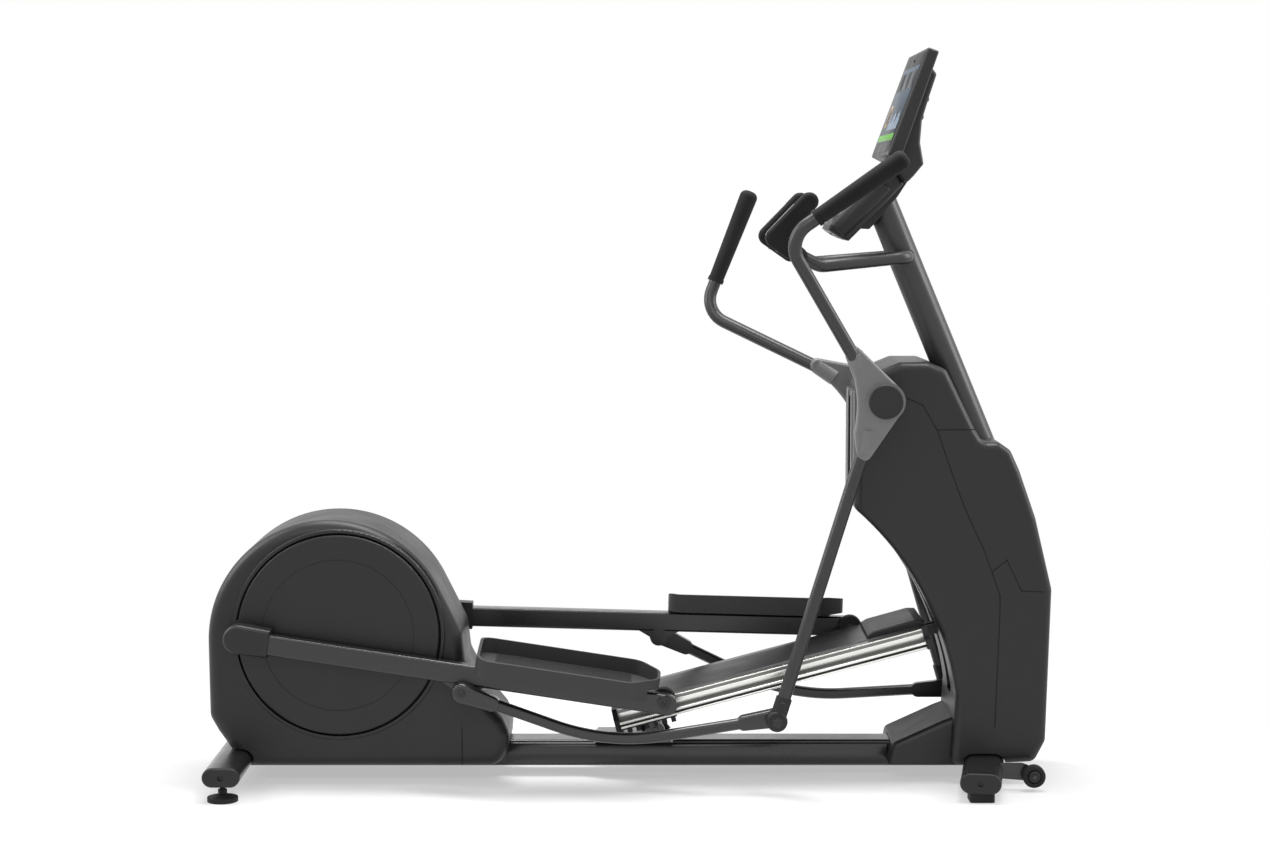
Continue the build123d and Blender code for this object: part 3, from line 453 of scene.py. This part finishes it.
def half_round(length, width, crown):
    """Half-round moulding: long along x, flat back down, with softened ends."""
    begin()
    bpy.ops.mesh.primitive_cylinder_add(vertices=48, radius=width / 2, depth=length)
    piece = bpy.context.object
    bpy.ops.object.mode_set(mode="EDIT")
    bpy.ops.mesh.select_all(action="SELECT")
    bpy.ops.transform.rotate(value=pi / 2, orient_axis="Y", center_override=(0, 0, 0))
    bpy.ops.transform.resize(value=(1, 1, crown / (width / 2)), center_override=(0, 0, 0))
    bpy.ops.mesh.bisect(plane_co=(0, 0, 0), plane_no=(0, 0, 1), use_fill=True, clear_inner=True)
    pick(lambda face: abs(face.normal.x) > 0.99)
    bpy.ops.mesh.bevel(offset=crown * 0.25, segments=3, affect="EDGES")
    begin()
    return piece


def flat_ring(inner, outer, height):
    """Flat ring, such as a spacer or the liner behind a crank disc's running gap."""
    begin()
    bpy.ops.mesh.primitive_cylinder_add(vertices=128, radius=outer, depth=height, location=(0, 0, height / 2))
    piece = bpy.context.object
    bpy.ops.object.transform_apply(location=True)
    pick(lambda face: abs(face.normal.z) > 0.99)
    bpy.ops.mesh.inset(thickness=outer - inner)
    bpy.ops.mesh.bridge_edge_loops()
    begin()
    return piece


def weld_ring(radius, bead):
    """Weld bead round a tube: a flattened ring with the ripple of its run."""
    begin()
    bpy.ops.mesh.primitive_torus_add(major_radius=radius, minor_radius=bead, major_segments=72, minor_segments=10)
    piece = bpy.context.object
    bpy.ops.object.mode_set(mode="EDIT")
    bpy.ops.mesh.select_all(action="SELECT")
    bpy.ops.transform.resize(value=(1, 1, 0.8))
    bpy.ops.transform.vertex_random(offset=bead * 0.18, uniform=0.0, normal=1.0, seed=4)
    bpy.ops.mesh.vertices_smooth(factor=0.4, repeat=2)
    begin()
    return piece


# the console's face: up from its lower edge, across, and out of it, in the drawing's millimetres

FACE_LOW = Vector((614.0, 0, 1531.0))
FACE_UP = (Vector((707.0, 0, 1782.0)) - FACE_LOW).normalized()
FACE_OUT = FACE_UP.cross(Vector((0, 1, 0)))

# how far each layer of the screen stands out, in millimetres
GLASS_OUT, PICTURE_OUT, MARKS_OUT = 0.0, 0.5, 1.0

# width, length, height and corner of the screen's plates, in metres
GLASS = (0.388, 0.252, 0.0005, 0.006)
PICTURE = (0.346, 0.193, 0.0005, 0.002)
STRIP = (0.338, 0.017, 0.0003, 0.0015)
TILE = (0.098, 0.046, 0.0003, 0.004)
BAR = (0.0085, 0.001, 0.0003, 0.0003)
GAUGE = (0.062, 0.062, 0.0003, 0.0309)
GAUGE_FACE = (0.046, 0.046, 0.0004, 0.0229)
CAMERA_EYE = (0.0042, 0.0016, 0.0004)

# places up the face and across it, in millimetres
GLASS_UP, PICTURE_UP, STRIP_UP, TILE_UP, GAUGE_UP, EYE_UP = 134, 130.5, 46, 192, 104, 244
TILES_ACROSS = (-118, 0, 118)
GAUGE_ACROSS = 118
BARS_UP, BARS_FROM, BARS_RUN = 66, -150, 200
BAR_LEAST, BAR_SWELL = 14, 30
# the bars follow a plain wave, in radians from bar to bar and at the first
WAVE_STEP, WAVE_START = 0.55, 0.4


def on_face(along, across, out):
    point = FACE_LOW + FACE_UP * along + FACE_OUT * out
    return drawn(point.x, across, point.z)


def lay_on_face(piece, name, along, across, out, finish):
    return settle(piece, name, on_face(along, across, out), FACE_OUT, "frame", finish, "screen", up=FACE_UP)


class TRAINER_OT_screen(bpy.types.Operator):
    """Plain lit layout on the console's screen"""
    bl_idname = "trainer.screen"
    bl_label = "Screen"

    def execute(self, context):
        lay_on_face(plate(*GLASS), "screen_glass", GLASS_UP, 0, GLASS_OUT, "dark_glass")
        shown = lay_on_face(plate(*PICTURE), "screen_picture", PICTURE_UP, 0, PICTURE_OUT, "screen")
        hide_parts("console_screen")
        lay_on_face(plate(*STRIP), "screen_strip", STRIP_UP, 0, MARKS_OUT, "lit_strip")
        tile = plate(*TILE)
        for i, across in enumerate(TILES_ACROSS):
            lay_on_face(twin(tile), f"screen_tile_{i}", TILE_UP, across, MARKS_OUT, "dark_glass")
        drop(tile)
        bar = plate(*BAR)
        count = context.scene.trainer_fittings.bars
        for i in range(count):
            tall = BAR_LEAST + BAR_SWELL * abs(sin(WAVE_STEP * i + WAVE_START))
            across = BARS_FROM + BARS_RUN * i / (count - 1)
            piece = twin(bar)
            piece.scale = (1, tall, 1)
            bpy.ops.object.transform_apply(scale=True)
            lay_on_face(piece, f"screen_bar_{i}", BARS_UP + tall / 2, across, MARKS_OUT, "lit_mark")
        drop(bar)
        lay_on_face(plate(*GAUGE), "screen_dial", GAUGE_UP, GAUGE_ACROSS, MARKS_OUT, "lit_warm")
        lay_on_face(plate(*GAUGE_FACE), "screen_dial_face", GAUGE_UP, GAUGE_ACROSS, MARKS_OUT, "dark_glass")
        lay_on_face(round_cap(*CAMERA_EYE), "camera_eye", EYE_UP, 0, PICTURE_OUT, "dark_glass")
        return {"FINISHED"}


# tray below the screen: its upper face, its end face and the console's back, in the drawing's millimetres

TRAY_LOW = Vector((486.0, 0, 1363.0))
TRAY_UP = (Vector((616.0, 0, 1494.0)) - TRAY_LOW).normalized()
TRAY_OUT = TRAY_UP.cross(Vector((0, 1, 0)))
END_MID = Vector((498.0, 0, 1342.5))
END_OUT = Vector((-21.0, 0, -32.0)).normalized()
ROLL_MID = Vector((562.0, 0, 1406.0))
BACK_MID = Vector((709.5, 0, 1641.5))
BACK_UP = Vector((17.0, 0, 57.0)).normalized()
BACK_OUT = Vector((57.0, 0, -17.0)).normalized()

# sizes of the tray's and the back's fittings, in metres
TRAY_DISH = (0.15, 0.058, 0.004, 0.009, 0.004)
TRAY_DIAL = (0.017, 0.009, 0.0012)
TRAY_KEY = (0.024, 0.014, 0.003, 0.004, 0.002)
TRAY_END = (0.166, 0.026, 0.0016, 0.005, 0.003)
END_SLOT = (0.05, 0.006, 0.0022, 0.0028)
TRAY_ROLL = (0.160, 0.046, 0.015)
VENT_SLAT = (0.17, 0.0042, 0.003, 0.002)

# their places, in millimetres
DISH_UP, DIAL_UP, KEYS_UP = 92, 30, 30
DIAL_ACROSS, KEYS_FROM, KEY_STEP = -56, -14, 34
KEYS = 3
ROLL_OUT = 94.5
VENT_STEP = 7.0
BACK_SCREWS = ((-120, 22), (120, 22), (-120, -22), (120, -22))


class TRAINER_OT_console_fittings(bpy.types.Operator):
    """Keys, dial, end plate and rolls of the tray, and the vent on the console's back"""
    bl_idname = "trainer.console_fittings"
    bl_label = "Console fittings"

    def execute(self, context):
        def on_tray(piece, name, along, across, finish):
            point = TRAY_LOW + TRAY_UP * along
            settle(piece, name, drawn(point.x, across, point.z), TRAY_OUT, "frame", finish, "dark_plastic",
                   up=TRAY_UP)

        def on_back(piece, name, rise, across, finish, slot, **turn):
            point = BACK_MID + BACK_UP * rise
            settle(piece, name, drawn(point.x, across, point.z), BACK_OUT, "frame", finish, slot, **turn)

        on_tray(dished_plate(*TRAY_DISH), "tray_dish", DISH_UP, 0, "rubber")
        on_tray(round_cap(*TRAY_DIAL), "tray_dial", DIAL_UP, DIAL_ACROSS, "trim")
        key = dished_plate(*TRAY_KEY)
        for i in range(KEYS):
            on_tray(twin(key), f"tray_key_{i}", KEYS_UP, KEYS_FROM + KEY_STEP * i, "dark_plastic")
        drop(key)
        end = drawn(*END_MID)
        # the tray's end plate is pale grey: a painted highlight on that end
        settle(dished_plate(*TRAY_END), "tray_end", end, END_OUT, "frame", "trim", "dark_plastic", up=TRAY_UP)
        settle(plate(*END_SLOT), "tray_end_slot", end, END_OUT, "frame", "dark_plastic", "dark_plastic",
               up=TRAY_UP)
        roll = half_round(*TRAY_ROLL)
        for side, sign in SIDES:
            settle(twin(roll), side + "_tray_roll", drawn(ROLL_MID.x, sign * ROLL_OUT, ROLL_MID.z), outward(sign),
                   "frame", "dark_plastic", "charcoal", up=TRAY_OUT)
        drop(roll)
        slats = context.scene.trainer_fittings.vents
        slat = plate(*VENT_SLAT)
        for i in range(slats):
            on_back(twin(slat), f"vent_slat_{i}", VENT_STEP * (i - (slats - 1) / 2), 0, "dark_plastic", "charcoal",
                    up=BACK_UP)
        drop(slat)
        screw = button_head(context.scene.trainer_fittings.screw)
        for i, (across, rise) in enumerate(BACK_SCREWS):
            on_back(twin(screw), f"console_screw_{i}", rise, across, "black_steel", "steel")
        drop(screw)
        return {"FINISHED"}


# arms and links; the left side is the right side turned about its joints and mirrored

HUB = Vector((609.0, 0, 949.0))
SOCKET_LOW = Vector((560.0, 0, 826.0))

# thickness and groove of the hub caps, and how far out each fitting sits, in metres
HUB_CAP = (0.004, 0.0012)
CAP_OUT, CLAMP_OUT, ELBOW_BOLT_OUT, EYE_BOLT_OUT, AXLE_SCREW_OUT = 0.2696, 0.2623, 0.2628, 0.2238, 0.2028
CLAMP_ALONG = 0.045
CRANK_THROW = 0.233
# the eye of the lower link from the roller's axle: back along the foot link and down from it
EYE_BACK, EYE_DOWN = 0.486, 0.0457


def plan(point):
    """The point moved to the middle plane."""
    return Vector((point[0], 0, point[2]))


def swing(side):
    """How far this side's arm is turned from the right one's rest."""
    hub = plan(drawn(*HUB))
    here = plan(JOINT_AT[side + "_elbow_swing"]) - hub
    home = plan(JOINT_AT["right_elbow_swing"]) - hub
    return atan2(here.z, here.x) - atan2(home.z, home.x)


def turned(point, angle):
    """The point turned about the crosswise axis, upwards from +X."""
    c, s = cos(angle), sin(angle)
    return Vector((point.x * c - point.z * s, point.y, point.x * s + point.z * c))


def fit(piece, name, spot, sign, out, body, finish="black_steel", slot="steel"):
    """A copy of the piece, facing out at that distance from the middle plane."""
    return settle(twin(piece), name, spot + outward(sign * out), outward(sign), body, finish, slot)


class TRAINER_OT_arm_fittings(bpy.types.Operator):
    """Hub caps, clamp screws at the elbows and bolts through the links"""
    bl_idname = "trainer.arm_fittings"
    bl_label = "Arm fittings"

    def execute(self, context):
        sizes = context.scene.trainer_fittings
        cap = round_cap(sizes.hub_cap, *HUB_CAP)
        screw = button_head(sizes.screw)
        bolt = hex_head(sizes.bolt)
        hub = plan(drawn(*HUB))
        crank = plan(JOINT_AT["crank_spin"])
        home = plan(JOINT_AT["right_elbow_swing"])
        for side, sign in SIDES:
            arm = side + "_arm"
            fit(cap, side + "_hub_cap", hub, sign, CAP_OUT, arm, "charcoal", "casting")
            elbow = plan(JOINT_AT[side + "_elbow_swing"])
            run = turned((plan(drawn(*SOCKET_LOW)) - home).normalized(), swing(side))
            fit(screw, side + "_clamp_screw", elbow + run * CLAMP_ALONG, sign, CLAMP_OUT, arm)
            fit(bolt, side + "_elbow_bolt", elbow, sign, ELBOW_BOLT_OUT, arm)
            axle = plan(JOINT_AT[side + "_pitch"])
            pin = crank + Vector((sign * CRANK_THROW, 0, 0))
            along = (axle - pin).normalized()
            rise = Vector((-along.z, 0, along.x))
            eye = axle - along * EYE_BACK - rise * EYE_DOWN
            fit(bolt, side + "_eye_bolt", eye, sign, EYE_BOLT_OUT, side + "_lower_link")
            fit(screw, side + "_axle_screw", axle, sign, AXLE_SCREW_OUT, side + "_roller_axle")
        for piece in (cap, screw, bolt):
            drop(piece)
        return {"FINISHED"}


# ramp: its pivot, its slope and the rails' ends along it, in the drawing's millimetres

RAMP_PIVOT = Vector((67.0, 0, 117.0))
RAMP_ANGLE = radians(15.0)
RAMP_UP = Vector((-sin(RAMP_ANGLE), 0, cos(RAMP_ANGLE)))
RAMP_SPAN = (-75.0, 695.0)
RIDGE_SHORT = 1.0
# height over the ramp's line, distance from the middle, width and crown of each ridge on a rail
RIDGES = ((88.2, 130.9, 3.2, 0.8), (73.0, 130.9, 13.0, 1.0), (58.2, 155.9, 6.0, 1.6), (46.2, 149.9, 5.4, 1.6))


def on_ramp(along, out, rise):
    point = RAMP_PIVOT + turned(Vector((along, out, rise)), RAMP_ANGLE)
    return drawn(*point)


class TRAINER_OT_ramp_fittings(bpy.types.Operator):
    """Ridges along the extruded rails, in the pale finish that paints their highlights"""
    bl_idname = "trainer.ramp_fittings"
    bl_label = "Ramp fittings"

    def execute(self, context):
        start, end = RAMP_SPAN
        for i, (rise, out, width, crown) in enumerate(RIDGES):
            ridge = half_round((end - start - 2 * RIDGE_SHORT) / 1000, width / 1000, crown / 1000)
            for side, sign in SIDES:
                # each ridge takes the pale finish: a painted highlight along the rail
                settle(twin(ridge), f"{side}_rail_ridge_{i}", on_ramp((start + end) / 2, sign * out, rise),
                       outward(sign), "ramp", "ridge", "rail", up=RAMP_UP)
            drop(ridge)
        return {"FINISHED"}


# frame: sizes and places of its fittings, in metres

SLOT_PAD = (0.076, 0.19, 0.0025, 0.008, 0.004)
SLOT_PAD_DEEP = 0.005
# pale strips beside the hood's slot, which paint the highlights on its edges
SLOT_HIGHLIGHT = (0.012, 0.228, 0.003, 0.004)
SLOT_HIGHLIGHT_OUT = 0.0515
BASE_TRIM = (0.056, 0.010)
BASE_TRIM_OUT, BASE_TRIM_HIGH, BASE_TRIM_TUCK = 0.0398, 0.0545, 0.01
HOOD_FOOT = drawn(644.0, 0, 0).x
DRUM_LINER = (0.238, 0.262, 0.002)
DRUM_LINER_OUT = 0.126
BAR_RADIUS = 0.0172
BAR_WELD_IN, BAR_WELD_OUT, BAR_WELD_HIGH = 0.016, 0.0355, 1.286
WHEEL_CAP = (0.014, 0.004, 0.001)


class TRAINER_OT_frame_fittings(bpy.types.Operator):
    """Pale strips that paint the highlights on the hood's slot, base mouldings, drum liners, weld beads and wheel
    caps
    """
    bl_idname = "trainer.frame_fittings"
    bl_label = "Frame fittings"

    def execute(self, context):
        low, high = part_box("hood_panel")
        middle = (low + high) / 2
        back = Vector((-1, 0, 0))
        settle(dished_plate(*SLOT_PAD), "slot_pad", Vector((low.x + SLOT_PAD_DEEP, 0, middle.z)), back, "frame",
               "rubber", "dark_plastic")
        # pale strips beside the slot: painted highlights
        rail = plate(*SLOT_HIGHLIGHT)
        for _, sign in SIDES:
            settle(twin(rail), f"slot_highlight_{sign + 1}", Vector((low.x, sign * SLOT_HIGHLIGHT_OUT, middle.z)), back,
                   "frame", "trim", "charcoal")
        drop(rail)
        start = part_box("right_drive_shell")[1].x - BASE_TRIM_TUCK
        trim = half_round(HOOD_FOOT - start, *BASE_TRIM)
        middle = Vector(((start + HOOD_FOOT) / 2, 0, BASE_TRIM_HIGH))
        for side, sign in SIDES:
            fit(trim, side + "_base_trim", middle, sign, BASE_TRIM_OUT, "frame", "links", "gunmetal")
        drop(trim)
        crank = plan(JOINT_AT["crank_spin"])
        liner = flat_ring(*DRUM_LINER)
        for side, sign in SIDES:
            fit(liner, side + "_drum_liner", crank, sign, DRUM_LINER_OUT, "frame", "rubber", "dark_plastic")
        drop(liner)
        bead = weld_ring(BAR_RADIUS, context.scene.trainer_fittings.bead)
        low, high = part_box("fixed_handlebar")
        spot = Vector((high.x - BAR_WELD_IN, 0, BAR_WELD_HIGH))
        for _, sign in SIDES:
            fit(bead, f"bar_weld_{sign + 1}", spot, sign, BAR_WELD_OUT, "frame", "gunmetal", "gunmetal")
        drop(bead)
        cap = round_cap(*WHEEL_CAP)
        for side, sign in SIDES:
            wheel = side + "_transport_wheel"
            low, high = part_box(wheel)
            spot = (low + high) / 2
            spot.y = high.y if sign > 0 else low.y
            settle(twin(cap), side + "_wheel_cap", spot, outward(sign), wheel, "dark_plastic", "dark_plastic")
        drop(cap)
        return {"FINISHED"}


# spacers between the rollers and the links, in metres

SPACER_BORE = 0.0082


class TRAINER_OT_spacers(bpy.types.Operator):
    """Spacer rings that travel with the roller axles"""
    bl_idname = "trainer.spacers"
    bl_label = "Spacers"

    def execute(self, context):
        for side, sign in SIDES:
            node = side + "_axle_spacer"
            low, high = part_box(node)
            ring = flat_ring(SPACER_BORE, (high.z - low.z) / 2, high.y - low.y)
            inner = (low + high) / 2
            inner.y = low.y if sign > 0 else high.y
            settle(ring, side + "_spacer_ring", inner, outward(sign), side + "_roller_axle", "steel", "steel")
            # the CAD ring belongs to the body that stays on the ramp
            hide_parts(node)
        return {"FINISHED"}


# seams of the covers, as (x, z) points of the drawing on the side face; dark strips in them paint the shade of the
# grooves

COVER_HALF = 138.0
SEAM_DEPTH = 1.5
# size of a dark strip's section and its corner, in metres
SEAM_SHADE_WIDTH, SEAM_SHADE_HEIGHT, SEAM_SHADE_CORNER = 0.0024, 0.0009, 0.00096
SEAMS = {
    "hood_panel": ((672, 948), (711, 931), (746, 871), (798, 725), (828, 652), (860, 586), (883, 525), (903, 468),
                   (904, 437), (895, 143)),
    "hood_shoulder": ((746, 871), (838, 872)),
    "hood_front": ((883, 525), (919, 554), (956, 478), (1008, 476)),
    "drive_shell": ((-405, 50), (-405, 136)),
}


class TRAINER_OT_seam_shade(bpy.types.Operator):
    """Dark rubber strips in the seams of the covers: painted shade in the grooves"""
    bl_idname = "trainer.seals"
    bl_label = "Seam shade"

    def execute(self, context):
        for name, points in SEAMS.items():
            for side, sign in SIDES:
                facing = outward(sign)
                runs = []
                for start, end in zip(points, points[1:]):
                    # each strip lies in the groove, in from the face, as painted shade
                    a, b = (drawn(x, sign * (COVER_HALF - SEAM_DEPTH), z) for x, z in (start, end))
                    run = plate((b - a).length + SEAM_SHADE_WIDTH, SEAM_SHADE_WIDTH, SEAM_SHADE_HEIGHT, SEAM_SHADE_CORNER)
                    runs.append(settle(run, f"{side}_{name}_seam_shade", (a + b) / 2, facing, "frame", "rubber",
                                       "rubber", up=facing.cross(b - a)))
                begin()
                for run in runs:
                    run.select_set(True)
                bpy.context.view_layer.objects.active = runs[0]
                if len(runs) > 1:
                    bpy.ops.object.join()
        return {"FINISHED"}


# stage

# name, place, target, size and watts of each lamp
LAMPS = (
    ("front", (-1.2, -4.4, 3.6), (0.1, 0, 0.6), (3.4, 0.7), 40),
    ("left rim", (-3.4, 0.2, 2.4), (-0.2, 0, 0.7), (1.4, 2.6), 60),
    ("right rim", (3.6, 0.0, 2.4), (0.5, 0, 0.8), (1.4, 2.6), 60),
    ("top", (0.2, 0.2, 4.0), (0.1, 0, 0.6), (3.8, 0.9), 165),
)
# share of the white background that lights the machine
SKY_LIGHT = 0.2
WHITE = (1, 1, 1, 1)
FLOOR_SIZE = 24
FLOOR_COLOUR = (0.95, 0.95, 0.95, 1)
# the floor's own white grows from near the machine to far from it, in metres
FLOOR_NEAR, FLOOR_FAR, FLOOR_LEAST = 1.0, 2.0, 0.45
# the camera's sensor in millimetres, and how far it sees in metres
SENSOR = 36
SIGHT = 100


def area_light(name, place, target, size, power):
    """A soft lamp that faces its target."""
    data = bpy.data.lights.new(name, "AREA")
    data.shape = "RECTANGLE"
    data.size, data.size_y = size
    data.energy = power
    lamp = bpy.data.objects.new(name, data)
    bpy.context.collection.objects.link(lamp)
    aim = Vector(target) - Vector(place)
    lamp.matrix_world = Matrix.Translation(place) @ aim.to_track_quat("-Z", "Y").to_matrix().to_4x4()


def showing(tree, across):
    """One where the background is seen, straight or in gloss and glass, and nothing for the light it casts."""
    path = add(tree, "ShaderNodeLightPath", (across, -300))
    gloss = add(tree, "ShaderNodeMath", (across + 200, -300), {
        0: (path, "Is Camera Ray"), 1: (path, "Is Glossy Ray")}, operation="ADD")
    return add(tree, "ShaderNodeMath", (across + 400, -300), {
        0: (gloss, "Value"), 1: (path, "Is Transmission Ray")}, operation="ADD", use_clamp=True)


def pale_world():
    """White to the eye and in reflections, soft grey as light."""
    world = bpy.data.worlds.new("Pale studio")
    bpy.context.scene.world = world
    world.use_nodes = True
    tree = world.node_tree
    tree.nodes.clear()
    strength = add(tree, "ShaderNodeMapRange", (-200, 0), {
        "Value": (showing(tree, -800), "Value"), "To Min": SKY_LIGHT, "To Max": 1.0})
    back = add(tree, "ShaderNodeBackground", (0, 0), {"Color": WHITE, "Strength": (strength, "Result")})
    add(tree, "ShaderNodeOutputWorld", (200, 0), {"Surface": (back, "Background")})


def pale_floor():
    """A white floor that keeps the shadow and fades into the white behind it."""
    begin()
    bpy.ops.mesh.primitive_plane_add(size=FLOOR_SIZE, location=(0, 0, 0))
    floor = bpy.context.object
    floor.name = "floor"
    material, tree = blank("Pale floor")
    coord = add(tree, "ShaderNodeTexCoord", (-900, 0))
    reach = add(tree, "ShaderNodeVectorMath", (-700, 0), {0: (coord, "Object")}, operation="LENGTH")
    fade = add(tree, "ShaderNodeMapRange", (-500, 0), {
        "Value": (reach, "Value"), "From Min": FLOOR_NEAR, "From Max": FLOOR_FAR, "To Min": FLOOR_LEAST},
        interpolation_type="SMOOTHSTEP")
    seen = add(tree, "ShaderNodeMath", (-300, -100), {
        0: (fade, "Result"), 1: (showing(tree, -900), "Value")}, operation="MULTIPLY")
    matt = add(tree, "ShaderNodeBsdfDiffuse", (-100, 100), {"Color": FLOOR_COLOUR})
    glow = add(tree, "ShaderNodeEmission", (-100, -100), {"Color": WHITE, "Strength": 1.0})
    both = add(tree, "ShaderNodeMixShader", (150, 0), {
        0: (seen, "Value"), 1: (matt, "BSDF"), 2: (glow, "Emission")})
    add(tree, "ShaderNodeOutputMaterial", (400, 0), {"Surface": (both, "Shader")})
    floor.data.materials.append(material)
    return floor


class TRAINER_OT_stage(bpy.types.Operator):
    """Floor, light and the camera"""
    bl_idname = "trainer.stage"
    bl_label = "Stage"

    def execute(self, context):
        view = context.scene.trainer_stage
        context.scene.view_settings.view_transform = "Standard"
        pale_world()
        pale_floor()
        for lamp in LAMPS:
            area_light(*lamp)
        data = bpy.data.cameras.new("camera")
        data.sensor_width = SENSOR
        data.lens = view.lens
        data.clip_end = SIGHT
        camera = bpy.data.objects.new("camera", data)
        context.collection.objects.link(camera)
        camera.location = (view.camera_along, -view.camera_back, view.camera_high)
        camera.rotation_euler = (pi / 2 - view.camera_pitch, 0, 0)
        context.scene.camera = camera
        return {"FINISHED"}


class TRAINER_PT_panel(bpy.types.Panel):
    """The steps in their order"""
    bl_label = "Trainer"
    bl_idname = "TRAINER_PT_panel"
    bl_space_type = "VIEW_3D"
    bl_region_type = "UI"
    bl_category = "Trainer"

    def draw(self, context):
        for step in STEPS:
            self.layout.operator(step.bl_idname)


STEPS = (
    TRAINER_OT_finishes, TRAINER_OT_screen, TRAINER_OT_console_fittings, TRAINER_OT_arm_fittings,
    TRAINER_OT_frame_fittings, TRAINER_OT_ramp_fittings, TRAINER_OT_spacers, TRAINER_OT_seam_shade, TRAINER_OT_stage,
)
GROUPS = {"trainer_finishes": TrainerFinishes, "trainer_fittings": TrainerFittings, "trainer_stage": TrainerStage}
CLASSES = tuple(GROUPS.values()) + STEPS + (TRAINER_PT_panel,)


def register():
    for cls in CLASSES:
        bpy.utils.register_class(cls)
    for name, group in GROUPS.items():
        setattr(bpy.types.Scene, name, PointerProperty(type=group))


def unregister():
    for name in GROUPS:
        delattr(bpy.types.Scene, name)
    for cls in reversed(CLASSES):
        bpy.utils.unregister_class(cls)


def main():
    register()
    for step in STEPS:
        group, name = step.bl_idname.split(".")
        getattr(getattr(bpy.ops, group), name)()


if __name__ == "__main__":
    main()
